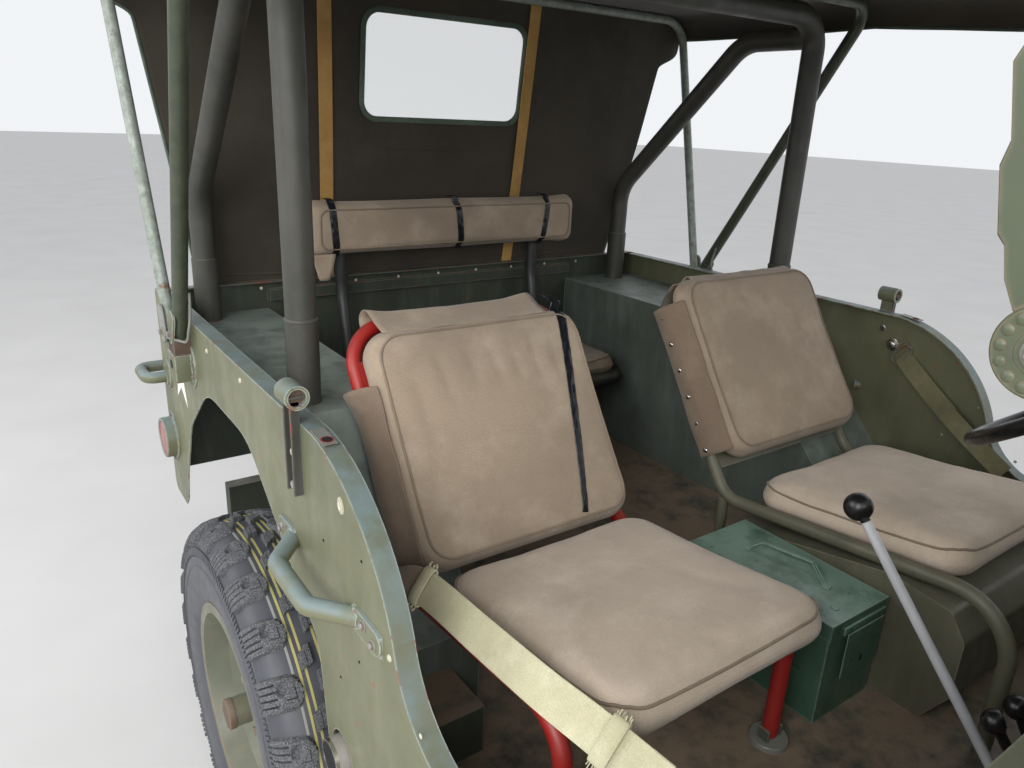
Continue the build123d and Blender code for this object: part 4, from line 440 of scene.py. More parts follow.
def facing(place, direction, spin=0):
    """A matrix with its z axis along direction at place."""
    turn = Vector(direction).to_track_quat("Z", "Y").to_matrix().to_4x4()
    return Matrix.Translation(place) @ turn @ Matrix.Rotation(spin, 4, "Z")


def join_rings(bm, low, high):
    """Faces between two closed rings of vertices."""
    for k in range(len(low)):
        following = (k + 1) % len(low)
        bm.faces.new((low[k], low[following], high[following], high[k]))


def join_rows(bm, grid, material=0):
    """Faces between rows of vertices that follow each other."""
    for low, high in zip(grid, grid[1:]):
        for k in range(len(low) - 1):
            bm.faces.new((low[k], low[k + 1], high[k + 1], high[k])).material_index = material


def lathe(bm, matrix, profile, steps=24, closed=False):
    """Turn (radius, height) points about the matrix's z axis. A zero radius closes an end."""
    rings = []
    for radius, height in profile:
        if radius == 0:
            rings.append([bm.verts.new(matrix @ Vector((0, 0, height)))])
            continue
        angles = [2 * pi * k / steps for k in range(steps)]
        places = ((radius * cos(a), radius * sin(a), height) for a in angles)
        rings.append([bm.verts.new(matrix @ Vector(place)) for place in places])
    pairs = list(zip(rings, rings[1:]))
    if closed:
        pairs.append((rings[-1], rings[0]))
    faces = []
    for low, high in pairs:
        for k in range(steps):
            following = (k + 1) % steps
            if len(low) == 1:
                corners = (low[0], high[following], high[k])
            elif len(high) == 1:
                corners = (low[k], low[following], high[0])
            else:
                corners = (low[k], low[following], high[following], high[k])
            faces.append(bm.faces.new(corners))
    return faces


def disc(bm, matrix, radius, low, high, steps):
    """A flat round face at high with a rim down to low."""
    lathe(bm, matrix, ((radius, low), (radius, high), (0, high)), steps)


def slab(bm, matrix, size, bevel, segments=1):
    """A box with bevelled edges, centred on the matrix."""
    made = bmesh.ops.create_cube(bm, size=1, matrix=matrix @ Matrix.Diagonal((*size, 1)))
    edges = list(dict.fromkeys(edge for vert in made["verts"] for edge in vert.link_edges))
    bmesh.ops.bevel(bm, geom=edges, offset=bevel, segments=segments, affect="EDGES", profile=0.5)


def frames_along(points, closed=False):
    """A matrix at each point, with z along the line and the least twist."""
    points = [Vector(p) for p in points]
    count = len(points)
    runs = []
    for k in range(count):
        before = points[k - 1] if k or closed else points[k]
        after = points[(k + 1) % count] if k < count - 1 or closed else points[k]
        runs.append((after - before).normalized())
    side = runs[0].orthogonal().normalized()
    frames = []
    for place, run in zip(points, runs):
        side = (side - run * side.dot(run)).normalized()
        turn = Matrix((side, run.cross(side), run)).transposed().to_4x4()
        frames.append(Matrix.Translation(place) @ turn)
    return frames


def loft(bm, sections, closed=False):
    """Join rings of points with equal counts into a skin with capped ends."""
    rings = [[bm.verts.new(p) for p in ring] for ring in sections]
    for low, high in zip(rings, rings[1:]):
        join_rings(bm, low, high)
    if closed:
        join_rings(bm, rings[-1], rings[0])
    else:
        bm.faces.new(list(reversed(rings[0])))
        bm.faces.new(rings[-1])


def pipe(bm, points, radius, steps=12, closed=False):
    """A round bar along points. radius may be one number or one per point."""
    radii = radius if isinstance(radius, (list, tuple)) else [radius] * len(points)
    circle = [(cos(2 * pi * k / steps), sin(2 * pi * k / steps)) for k in range(steps)]
    sections = []
    for frame_here, r in zip(frames_along(points, closed), radii):
        sections.append([frame_here @ Vector((r * x, r * y, 0)) for x, y in circle])
    loft(bm, sections, closed)


def smooth_line(points, steps=6):
    """Points of a Catmull-Rom line through the given points."""
    points = [Vector(p) for p in points]
    padded = [2 * points[0] - points[1], *points, 2 * points[-1] - points[-2]]
    line = []
    for a, b, c, d in zip(padded, padded[1:], padded[2:], padded[3:]):
        for k in range(steps):
            t = k / steps
            curve = (2 * a - 5 * b + 4 * c - d) * t**2 + (3 * b - a - 3 * c + d) * t**3
            line.append(0.5 * (2 * b + (c - a) * t + curve))
    return [*line, points[-1]]


def webbing(bm, points, normals, width, thickness):
    """A flat strap along points, each with the direction its face looks in, or one direction for all."""
    sections = []
    half, deep, soft = width / 2, thickness / 2, thickness * 0.35
    shape = (
        (-half + soft, -deep), (half - soft, -deep), (half, -deep + soft), (half, deep - soft),
        (half - soft, deep), (-half + soft, deep), (-half, deep - soft), (-half, -deep + soft),
    )
    if isinstance(normals, tuple):
        normals = [normals] * len(points)
    for frame_here, normal in zip(frames_along(points), normals):
        run = frame_here.col[2].to_3d()
        across = run.cross(Vector(normal)).normalized()
        out = across.cross(run).normalized()
        centre = frame_here.translation
        sections.append([centre + across * x + out * y for x, y in shape])
    loft(bm, sections)


def ribbon(bm, points, normals, width, thickness):
    """A flat strap along points that comes back to its start."""
    webbing(bm, [*points, *points[:2]], [*normals, *normals[:2]], width, thickness)


def bolt(bm, place, direction, radius, height, washer=True):
    """A hexagon head with chamfered corners, on a washer."""
    matrix = facing(place, direction, 0.3)
    if washer:
        lathe(bm, matrix, ((radius * 1.5, -0.0005), (radius * 1.5, 0.0011), (radius * 1.35, 0.0016), (0, 0.0016)), 20)
    top = height + 0.0015
    lathe(bm, matrix, ((radius, 0.0005), (radius, top - 0.001), (radius * 0.84, top), (0, top)), 6)


def rivet(bm, place, direction, radius):
    """A low round head."""
    dome = [(radius * cos(a), radius * 0.55 * sin(a)) for a in (0, 0.45, 0.9, 1.3)]
    lathe(bm, facing(place, direction), (*dome, (0, radius * 0.55)), 12)


def piece(name, bm, material, body, smooth=40, extra=(), thick=0.0):
    """Make an object from a finished mesh, with its material, its body and a cloth's thickness."""
    bmesh.ops.recalc_face_normals(bm, faces=bm.faces)
    mesh = bpy.data.meshes.new(name)
    bm.to_mesh(mesh)
    bm.free()
    obj = bpy.data.objects.new(name, mesh)
    bpy.context.collection.objects.link(obj)
    for each in (material, *extra):
        mesh.materials.append(MATERIALS[each])
    mesh.shade_smooth()
    mesh.set_sharp_from_angle(angle=radians(smooth))
    if thick:
        solid = obj.modifiers.new("thick", "SOLIDIFY")
        solid.thickness = thick
        solid.offset = 0.0
    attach(obj, body)
    return obj


# Tyres: carcass, shoulder lugs, centre blocks, colour stripes and a toothed ring
TREAD_STEPS = 140
TREAD_RADIUS = 0.362
LUG_COUNT = 24
LUG_HEIGHT = 0.0092
TOOTH_COUNT = 226
LUG_TONE = 3
# The carcass under the lugs, from the middle of the tread down to the rim: (out from the middle, radius)
CARCASS = (
    (0.0, 0.3525), (0.02, 0.3522), (0.04, 0.351), (0.056, 0.3475), (0.067, 0.3405), (0.0745, 0.33),
    (0.079, 0.318), (0.0815, 0.306), (0.083, 0.293), (0.0838, 0.28), (0.0836, 0.262), (0.0826, 0.244),
    (0.0806, 0.228), (0.0772, 0.216), (0.0735, 0.2085),
)


def profile_table():
    """Places along the carcass with the distance run from the middle."""
    run, table = 0.0, [(0.0, *CARCASS[0])]
    for (x0, r0), (x1, r1) in zip(CARCASS, CARCASS[1:]):
        run += hypot(x1 - x0, r1 - r0)
        table.append((run, x1, r1))
    return table


PROFILE = profile_table()


def on_carcass(s, height):
    """(out, radius) at a distance s along the carcass from the middle, raised by height."""
    sign, s = (-1, -s) if s < 0 else (1, s)
    for (s0, x0, r0), (s1, x1, r1) in zip(PROFILE, PROFILE[1:]):
        if s <= s1 or s1 == PROFILE[-1][0]:
            t = (s - s0) / (s1 - s0)
            length = hypot(x1 - x0, r1 - r0)
            out, up = -(r1 - r0) / length, (x1 - x0) / length
            return sign * (x0 + (x1 - x0) * t + out * height), r0 + (r1 - r0) * t + up * height
    raise ValueError(s)


class Tread:
    """Blocks laid on the carcass at (s across, c round) places, in metres."""

    def __init__(self, bm, centre, axis_sign, spare=False):
        self.bm, self.centre, self.axis_sign, self.spare = bm, Vector(centre), axis_sign, spare

    def place(self, s, c, height):
        out, radius = on_carcass(s, height)
        angle = c / TREAD_RADIUS
        out *= self.axis_sign
        if self.spare:
            return self.centre + Vector((radius * cos(angle), out, radius * sin(angle)))
        return self.centre + Vector((out, radius * cos(angle), radius * sin(angle)))

    def block(self, rows, height, columns, draft=0.0012, material=0):
        """A block from (s, c from, c to) rows with sloped sides down into the carcass."""
        first, last = rows[0], rows[-1]
        lean = draft if last[0] > first[0] else -draft
        levels = [(first[0] - lean, first[1], first[2], -0.001)]
        levels += [(*row, height) for row in rows]
        levels += [(last[0] + lean, last[1], last[2], -0.001)]
        grid = []
        for s, c0, c1, h in levels:
            line = [self.place(s, c0 - draft, -0.001)]
            line += [self.place(s, c0 + (c1 - c0) * k / columns, h) for k in range(columns + 1)]
            line += [self.place(s, c1 + draft, -0.001)]
            grid.append([self.bm.verts.new(p) for p in line])
        join_rows(self.bm, grid, material)


# Grid lines of a shoulder lug, in millimetres: across the tread, and round it from the lug's middle
LUG_ACROSS = (23.5, 25.5, 28, 31, 34, 36.2, 37, 37.8, 40, 43, 46, 49, 52, 55, 58, 61, 64, 67, 71, 76, 81, 86, 90, 93)
LUG_ROUND = (
    -31, -29, -26.5, -22, -18.3, -16.5, -14.7, -11, -7.3, -5.5, -3.7, -0.8, 2, 3.7, 5.5, 7.3, 9.2, 10, 10.8, 12.6, 14.7,
    16.5, 18.3, 22, 26.5, 29, 31,
)
LUG_FOOT = -0.8
FINGER_SLOTS = (-16.5, -5.5, 5.5, 16.5)
SIPE_ACROSS, SIPE_ROUND = 37, 10


def lug_height(s, c):
    """Height of a thumb-shaped lug in millimetres: a round nose, a pit, an angled sipe and slots at the outer end."""
    half = 27.5 * sqrt(max(1 - ((45 - s) / 20) ** 2, 0)) if s < 45 else 27.5 + (s - 45) * 0.03
    rise = min(max((half - abs(c)) / 2.2, 0), 1) * min(max((93 - s) / 3, 0), 1)
    height = 9.2 * rise + LUG_FOOT
    lean = (s - 53) * 0.5
    pit = ((s - 53) / 6.5) ** 2 + ((c + 7 - lean) / 9.0) ** 2
    if pit < 1.5:
        height -= 7.0 * min(1, 1.5 - pit)
    if s > 62 and c in FINGER_SLOTS:
        height -= 5.5
    if s == SIPE_ACROSS and -6 <= c <= SIPE_ROUND or c == SIPE_ROUND and SIPE_ACROSS <= s <= 50:
        height -= 5.0
    return max(height, LUG_FOOT)


LUG_HEIGHTS = [[lug_height(s, c) for c in LUG_ROUND] for s in LUG_ACROSS]


def shoulder_lug(tread, side, c):
    """Lay one lug on a tread."""
    grid = []
    for s, heights in zip(LUG_ACROSS, LUG_HEIGHTS):
        swing = (60 - s) * 0.12 * side
        places = ((side * s / 1000, c + (r + swing) / 1000, h / 1000) for r, h in zip(LUG_ROUND, heights))
        grid.append([tread.bm.verts.new(tread.place(*place)) for place in places])
    for low, high, low_heights, high_heights in zip(grid, grid[1:], LUG_HEIGHTS, LUG_HEIGHTS[1:]):
        for i in range(len(LUG_ROUND) - 1):
            if max(*low_heights[i : i + 2], *high_heights[i : i + 2]) > LUG_FOOT:
                face = tread.bm.faces.new((low[i], low[i + 1], high[i + 1], high[i]))
                face.material_index = LUG_TONE


def centre_block(tread, side, c, turn):
    """A small slanted block cut by a slit."""
    for low, high, shift in ((0.0015, 0.0088, 0.0), (0.0102, 0.019, 0.003)):
        lean = 0.55 * turn
        places = (low, (low + high) / 2, high)
        rows = [(side * s, c - 0.015 + lean * s + shift, c + 0.017 + lean * s - shift) for s in places]
        tread.block(rows, LUG_HEIGHT, 2, material=LUG_TONE)


def make_tyre(name, centre, axis_sign, body, spare=False):
    """One tyre in place of its plain solid."""
    bm = bmesh.new()
    middle = facing(centre, (0, 1, 0) if spare else (1, 0, 0))
    half = [(r, x) for x, r in CARCASS]
    lathe(bm, middle, [(r, -x) for r, x in reversed(half)] + half[1:], TREAD_STEPS)
    tread = Tread(bm, centre, axis_sign, spare)

    def band(s, steps):
        """A ring round the tyre at s across, from (across, height) steps."""
        ring = [on_carcass(s + d, h) for d, h in steps]
        return lathe(bm, middle, [(r, x * axis_sign) for x, r in ring], TREAD_STEPS)

    pitch = 2 * pi * TREAD_RADIUS / LUG_COUNT
    for k in range(LUG_COUNT):
        shoulder_lug(tread, 1, (k + 0.25) * pitch)
        shoulder_lug(tread, -1, (k + 0.75) * pitch)
        centre_block(tread, 1, (k + 0.75) * pitch, 1)
        centre_block(tread, -1, (k + 0.25) * pitch, -1)
    tooth_pitch = 2 * pi * TREAD_RADIUS / TOOTH_COUNT
    for side in (1, -1):
        for k in range(TOOTH_COUNT):
            c = k * tooth_pitch
            tread.block([(side * s, c, c + tooth_pitch * 0.5) for s in (0.0985, 0.1125)], 0.003, 1, 0.0005)
        for s in (0.096, 0.115, 0.133):
            band(side * s, [(side * d, h) for d, h in ((-0.0012, 0), (0, 0.0014), (0.0012, 0))])
        for s, tone in ((0.0135, 1), (0.0235, 1), (0.0335, 2)):
            steps = ((-0.002, 0), (-0.0018, 0.0004), (0.0018, 0.0004), (0.002, 0))
            for face in band(side * s, [(side * d, h) for d, h in steps]):
                face.material_index = tone
    tyre = piece(f"tread_{name}", bm, "tyre", body, 35, ("stripe_yellow", "stripe_grey", "tyre_lug"))
    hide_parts(name)


def wheel_at(place):
    """(side, centre) of one wheel by its place's name."""
    side = 1 if place.endswith("left") else -1
    return side, (side * WHEEL_X, FRONT_AXLE_Y if place.startswith("front") else REAR_AXLE_Y, AXLE_Z)


for place in PLACES:
    side, centre = wheel_at(place)
    make_tyre(f"tyre_{place}", centre, side, f"wheel_{place}")
make_tyre("spare_tyre", (-0.25, 1.592, 0.882), 1, "car", True)


# Cushions: rounded pads with a crown, blown up as cloth, then piped
SEAT_X = 0.34
DRIVER_SHIFT = -0.031
SEAT_SLOPE = atan(45 / 397)
BACK_LEAN = radians(33)
PAD_STEP = 0.0085
PAD_RIM_BULGE = 0.0025
FACE_DEPTH = 0.022
CLOTH_FRAMES = 20
CLOTH_PRESSURE = 3.0
CLOTH_GROWTH = 0.025


def pad_frame(corner, along, face):
    """Axes of a pad: x across the car, y along the pad and z out of its face."""
    along, face = Vector(along).normalized(), Vector(face).normalized()
    turn = Matrix((along.cross(face), along, face)).transposed().to_4x4()
    return Matrix.Translation(corner) @ turn


def rounded(u, v, half_x, half_y, corner):
    """A place in a rectangle with round corners, from -1..1 across and along."""
    x, y = u * half_x, v * half_y
    over_x, over_y = abs(x) - (half_x - corner), abs(y) - (half_y - corner)
    if over_x > 0 and over_y > 0:
        a, b = over_x / corner, over_y / corner
        x = copysign(half_x - corner + corner * a * sqrt(1 - b * b / 2), x)
        y = copysign(half_y - corner + corner * b * sqrt(1 - a * a / 2), y)
    return x, y


def edge_distance(x, y, half_x, half_y, corner):
    """How far a place lies inside the rounded outline."""
    over_x, over_y = abs(x) - (half_x - corner), abs(y) - (half_y - corner)
    if over_x > 0 and over_y > 0:
        return corner - hypot(over_x, over_y)
    return min(half_x - abs(x), half_y - abs(y))


def pad_mesh(bm, matrix, width, length, thickness, corner, edge, crown):
    """A closed pad with its face at z 0 and its back at minus thickness, its middle at x 0, y length / 2."""
    half_x, half_y = width / 2, length / 2
    columns, lines = round(width / PAD_STEP), round(length / PAD_STEP)
    rims = []
    for top in (True, False):
        sheet = []
        for j in range(lines + 1):
            row = []
            for i in range(columns + 1):
                x, y = rounded(2 * i / columns - 1, 2 * j / lines - 1, half_x, half_y, corner)
                inside = max(edge_distance(x, y, half_x, half_y, corner), 0)
                e = min(inside / edge, 1)
                drop = edge * (1 - sqrt(1 - (1 - e) ** 2))
                rise = crown * (1 - (x / half_x) ** 2) * (1 - (y / half_y) ** 2)
                z = -drop - crown + rise if top else -thickness + drop * 0.7
                row.append(bm.verts.new(matrix @ Vector((x, y + half_y, z))))
            sheet.append(row)
        join_rows(bm, sheet)
        right, left = [row[-1] for row in sheet[1:]], [row[0] for row in sheet[-2:0:-1]]
        rims.append(sheet[0] + right + sheet[-1][-2::-1] + left)
    rings = [rims[0]]
    for share in (0.25, 0.5, 0.75):
        bulge = PAD_RIM_BULGE * sin(pi * share)
        ring = []
        for a, b in zip(*rims):
            middle = a.co.lerp(b.co, share)
            out = middle - matrix @ Vector((0, half_y, -thickness / 2))
            ring.append(bm.verts.new(middle + out.normalized() * bulge))
        rings.append(ring)
    rings.append(rims[1])
    for low, high in zip(rings, rings[1:]):
        join_rings(bm, low, high)


def inflate(obj, cap):
    """Blow a pad up as cloth that is slightly too large for its form, so that it creases."""
    scene = bpy.context.scene
    start = [v.co.copy() for v in obj.data.vertices]
    cloth = obj.modifiers.new("cloth", "CLOTH")
    settings = cloth.settings
    settings.use_pressure = True
    settings.uniform_pressure_force = CLOTH_PRESSURE
    settings.effector_weights.gravity = 0
    settings.shrink_min = -CLOTH_GROWTH
    settings.mass = 0.25
    settings.tension_stiffness = settings.compression_stiffness = 25
    settings.bending_stiffness = 0.6
    settings.quality = 5
    cloth.point_cache.frame_start, cloth.point_cache.frame_end = 1, CLOTH_FRAMES
    for frame_number in range(1, CLOTH_FRAMES + 1):
        scene.frame_set(frame_number)
    blown = obj.evaluated_get(bpy.context.evaluated_depsgraph_get()).to_mesh()
    ends = [v.co.copy() for v in blown.vertices]
    obj.modifiers.remove(cloth)
    scene.frame_set(1)
    for vertex, before, after in zip(obj.data.vertices, start, ends):
        move = after - before
        if move.length > cap:
            move *= cap / move.length
        vertex.co = before + move
    obj.data.update()


def crease(obj, matrix, folds, depth):
    """Press soft folds into a pad's face. Each fold: x and y at its start, x and y at its end, half width."""
    inverse = matrix.inverted()
    face = matrix.col[2].to_3d()
    for vertex in obj.data.vertices:
        local = inverse @ vertex.co
        if local.z < -FACE_DEPTH:
            continue
        push = 0.0
        for x0, y0, x1, y1, half in folds:
            run = Vector((x1 - x0, y1 - y0))
            offset = Vector((local.x - x0, local.y - y0))
            t = offset.dot(run) / run.length_squared
            if not 0 <= t <= 1:
                continue
            away = abs(offset.cross(run)) / run.length
            push += exp(-((away / half) ** 2)) * sin(pi * min(t * 1.6 + 0.12, 1)) ** 0.7
        ripple = swell(local.x * 14, local.y * 9, 1.7) * 0.5
        vertex.co -= face * depth * (push + ripple)


def surface_of(obj):
    """A tree of the object's faces, for laying things on it."""
    mesh = obj.data
    return BVHTree.FromPolygons([v.co for v in mesh.vertices], [p.vertices[:] for p in mesh.polygons])


def dropped(tree, matrix, x, y, lift, fallback):
    """A place on the pad's face under (x, y) of its frame, raised by lift."""
    face = matrix.col[2].to_3d()
    hit = tree.ray_cast(matrix @ Vector((x, y, 0.05)), -face)[0]
    return (hit if hit is not None else matrix @ Vector((x, y, fallback))) + face * lift


def corner_arcs(a, b, radius, steps):
    """(x, y) places on the four round corners of a rectangle whose corner centres lie at a and b."""
    places = []
    for cx, cy, turn in ((a, b, 0), (-a, b, 90), (-a, -b, 180), (a, -b, 270)):
        for k in range(steps + 1):
            angle = radians(turn + 90 * k / steps)
            places.append((cx + radius * cos(angle), cy + radius * sin(angle)))
    return places


def outline_places(half_x, half_y, inset, corner):
    """Evenly spread (x, y) places on a rounded rectangle inset from a pad's edge."""
    radius = max(corner - inset * 0.5, 0.01)
    arcs = corner_arcs(half_x - inset - radius, half_y - inset - radius, radius, 8)
    places = [(x, y + half_y) for x, y in arcs]
    total = []
    for (x0, y0), (x1, y1) in zip(places, places[1:] + places[:1]):
        steps = max(1, round(hypot(x1 - x0, y1 - y0) / 0.012))
        total += [(x0 + (x1 - x0) * k / steps, y0 + (y1 - y0) * k / steps) for k in range(steps)]
    return total


PIPING_RADIUS = 0.0022


def make_pad(name, node, body, matrix, size, corner, edge, crown, cap, folds, depth, seam):
    """One cushion with its corded seam."""
    width, length, thickness = size
    bm = bmesh.new()
    pad_mesh(bm, matrix, width, length, thickness, corner, edge, crown)
    # Seat pads take the paler cushion copy, which is painted light from above; the other pads take the plain cushion
    # cloth.
    pad = piece(name, bm, "cushion_top" if name.endswith("seat_pad") else "cushion", body, 80)
    inflate(pad, cap)
    crease(pad, matrix, folds, depth)
    tree = surface_of(pad)
    cord = bmesh.new()
    places = outline_places(width / 2, length / 2, seam, corner)
    points = [dropped(tree, matrix, x, y, PIPING_RADIUS * 0.3, -0.01) for x, y in places]
    pipe(cord, points, PIPING_RADIUS, 8, closed=True)
    piece(f"{name}_piping", cord, "piping", body, 80)
    smooth = pad.modifiers.new("smooth", "SUBSURF")
    smooth.levels = smooth.render_levels = 1
    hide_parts(node)
    return tree


SEAT_SIZE = (0.402, 0.402, 0.062)
BACK_WIDTH, BACK_THICK = 0.428, 0.052
BACK_FOLDS = (
    (-0.15, 0.325, -0.122, 0.02, 0.013), (-0.1, 0.34, -0.085, 0.17, 0.008), (-0.045, 0.342, -0.03, 0.21, 0.008),
    (0.0, 0.344, 0.01, 0.2, 0.007), (0.04, 0.344, 0.052, 0.19, 0.007), (0.085, 0.344, 0.094, 0.17, 0.006),
    (0.128, 0.34, 0.13, 0.19, 0.007),
)
SEAT_FOLDS = (
    (-0.13, 0.33, 0.06, 0.36, 0.012), (0.12, 0.08, 0.02, 0.32, 0.016), (-0.15, 0.1, -0.06, 0.26, 0.014),
)
REST_FOLDS = ((-0.24, 0.02, -0.23, 0.12, 0.01), (0.02, 0.02, 0.03, 0.12, 0.01), (0.25, 0.02, 0.24, 0.12, 0.01))
MIRRORED_FOLDS = [(-x0, y0, -x1, y1, half) for x0, y0, x1, y1, half in SEAT_FOLDS]
BODIES = {"passenger": "passenger_seat", "driver": "car"}
BACKS = {}
for person, side, shift, low, high, seat_folds, back_folds in (
    ("passenger", -1, 0.0, -0.012, 0.384, SEAT_FOLDS, BACK_FOLDS),
    ("driver", 1, DRIVER_SHIFT, 0.036, 0.42, MIRRORED_FOLDS, BACK_FOLDS[1:3]),
):
    node, body = f"{person}_cushions", BODIES[person]
    sine, cosine = sin(SEAT_SLOPE), cos(SEAT_SLOPE)
    seat_at = pad_frame((side * SEAT_X, 0.116 + shift, 0.8405), (0, cosine, -sine), (0, sine, cosine))
    make_pad(
        f"{person}_seat_pad", node, body, seat_at, SEAT_SIZE, 0.05, 0.02, 0.009, 0.007, seat_folds, 0.0016, 0.01
    )
    sine, cosine = sin(BACK_LEAN), cos(BACK_LEAN)
    back_at = pad_frame((side * SEAT_X, 0.517 + shift, 0.794), (0, sine, cosine), (0, -cosine, sine))
    pad_at, size = back_at @ Matrix.Translation((0, low, 0)), (BACK_WIDTH, high - low, BACK_THICK)
    back_tree = make_pad(
        f"{person}_back_pad", node, body, pad_at, size, 0.05, 0.016, 0.006, 0.006, back_folds, 0.0024, 0.019
    )
    BACKS[person] = back_at, back_tree

REST_AT = pad_frame((0, 1.362, 1.103), (0, 0, 1), (0, -1, 0))
REST_TREE = make_pad(
    "rear_rest_pad", "rear_cushions", "car", REST_AT, (0.77, 0.13, 0.054),
    0.03, 0.024, 0.004, 0.005, REST_FOLDS, 0.0015, 0.02,
)
make_pad(
    "rear_bench_pad", "rear_cushions", "car", pad_frame((0, 1.166, 0.813), (0, 1, 0), (0, 0, 1)),
    (0.83, 0.184, 0.046), 0.034, 0.02, 0.005, 0.005, (), 0.0014, 0.012,
)


# Canvas: one sheet over the bows, with rounded valances and a rear curtain round its window
CLOTH_MIDDLE = 0.002
CLOTH_THICK = 0.0026
ROOF_FRONT_Y, ROOF_FRONT_Z = -0.243, 1.6555
FRONT_BOW_Y = 0.792
CREASE_Y, CREASE_Z, CREASE_RADIUS = 1.39, 1.7115, 0.0138
CURTAIN_TOP_Y, ROOF_Z = 1.4005, 1.7233
CURTAIN_FOOT_Y, CURTAIN_FOOT_Z = 1.491, 0.985
CURTAIN_START_Z = 1.7132
CURTAIN_FROM_Y = 1.395
CURTAIN_SLOPE = (CURTAIN_FOOT_Y - CURTAIN_TOP_Y) / (ROOF_Z - CURTAIN_FOOT_Z)
CANVAS_HALF = 0.7745
VALANCE = 0.062
FLAT_HALF = CANVAS_HALF - VALANCE
FOOT_CORNER = 0.045
WINDOW_HALF, WINDOW_HIGH, WINDOW_Z, WINDOW_CORNER = 0.226, 0.118, 1.532, 0.04
WINDOW_TOP, WINDOW_FOOT = WINDOW_Z + WINDOW_HIGH, WINDOW_Z - WINDOW_HIGH
WINDOW_ARC = WINDOW_HALF - WINDOW_CORNER, WINDOW_HIGH - WINDOW_CORNER
WINDOW_COLUMNS, FLAT_COLUMNS, ALL_COLUMNS = 15, 47, 54
# The curtain narrows from the valance at the shoulder over a short way, then evenly down
SHOULDER_Z, SHOULDER_HIGH = 1.6633, 0.075
CURTAIN_HALF, CURTAIN_TAPER = 0.718, 0.118 / 0.6983
FRONT, BACK = (0, -1, 0), (0, 1, 0)


def ease(t):
    """A smooth step from 0 to 1."""
    return t * t * (3 - 2 * t)


def curtain_y(z, out=0.0):
    """How far back the curtain's inner face is at a height."""
    return CURTAIN_TOP_Y + (ROOF_Z - z) * CURTAIN_SLOPE + out


def curtain_half(z):
    """Half the curtain's width at a height, with the turn out to the valance and round foot corners."""
    low_line = CURTAIN_HALF - (SHOULDER_Z - z) * CURTAIN_TAPER
    half = CANVAS_HALF + (low_line - CANVAS_HALF) * ease(min(max((SHOULDER_Z - z) / SHOULDER_HIGH, 0), 1))
    up = z - CURTAIN_FOOT_Z
    if up < FOOT_CORNER:
        half -= FOOT_CORNER - sqrt(max(FOOT_CORNER**2 - (FOOT_CORNER - up) ** 2, 0))
    return half


def canvas_rows():
    """(zone, y, z) down the canvas: on the roof, round the rear bow and down the curtain."""
    rows = []
    for y0, z0, y1, count in (
        (ROOF_FRONT_Y, ROOF_FRONT_Z, FRONT_BOW_Y, 62),
        (FRONT_BOW_Y, ROOF_Z, CREASE_Y, 36),
    ):
        for k in range(count):
            rows.append(("roof", y0 + (y1 - y0) * k / count, z0 + (ROOF_Z - z0) * k / count + CLOTH_MIDDLE))
    for angle in (90, 68, 46, 25):
        a = radians(angle)
        rows.append(("crease", CREASE_Y + CREASE_RADIUS * cos(a), CREASE_Z + CREASE_RADIUS * sin(a)))
    for z0, z1, count in (
        (CURTAIN_START_Z, WINDOW_TOP, 5),
        (WINDOW_TOP, WINDOW_FOOT, 20),
        (WINDOW_FOOT, CURTAIN_FOOT_Z, 36),
    ):
        rows += [("curtain", 0.0, z0 + (z1 - z0) * k / count) for k in range(count)]
    return [*rows, ("curtain", 0.0, CURTAIN_FOOT_Z)]


def canvas_column(c):
    """(x, drop) of a column on the roof, round the valance."""
    side = copysign(1, c)
    n = abs(c)
    if n <= WINDOW_COLUMNS:
        return side * WINDOW_HALF * n / WINDOW_COLUMNS, 0.0
    if n <= FLAT_COLUMNS:
        share = (n - WINDOW_COLUMNS) / (FLAT_COLUMNS - WINDOW_COLUMNS)
        return side * (WINDOW_HALF + (FLAT_HALF - WINDOW_HALF) * share), 0.0
    a = pi / 2 * (n - FLAT_COLUMNS) / (ALL_COLUMNS - FLAT_COLUMNS)
    return side * (FLAT_HALF + VALANCE * sin(a)), VALANCE * (1 - cos(a))


def roof_point(x, drop, y, z):
    """A place on the roof, sagging between the bows."""
    front = y < FRONT_BOW_Y
    start, end = (ROOF_FRONT_Y, FRONT_BOW_Y) if front else (FRONT_BOW_Y, CREASE_Y)
    between = sin(pi * (y - start) / (end - start))
    hang = between * (0.011 if front else 0.008) * (1 - 0.75 * (x / CANVAS_HALF) ** 4)
    ripple = swell(x * 5, y * 7, 0.3) * 0.0035 * between
    flare = drop / VALANCE * between * (swell(x, y * 9, 4.1) * 0.007 - 0.005)
    lean = max(0.0, (y - CREASE_Y + 0.1) / 0.1) * drop * CURTAIN_SLOPE
    return Vector((x + copysign(flare, x), y + lean, z - drop - hang + ripple))


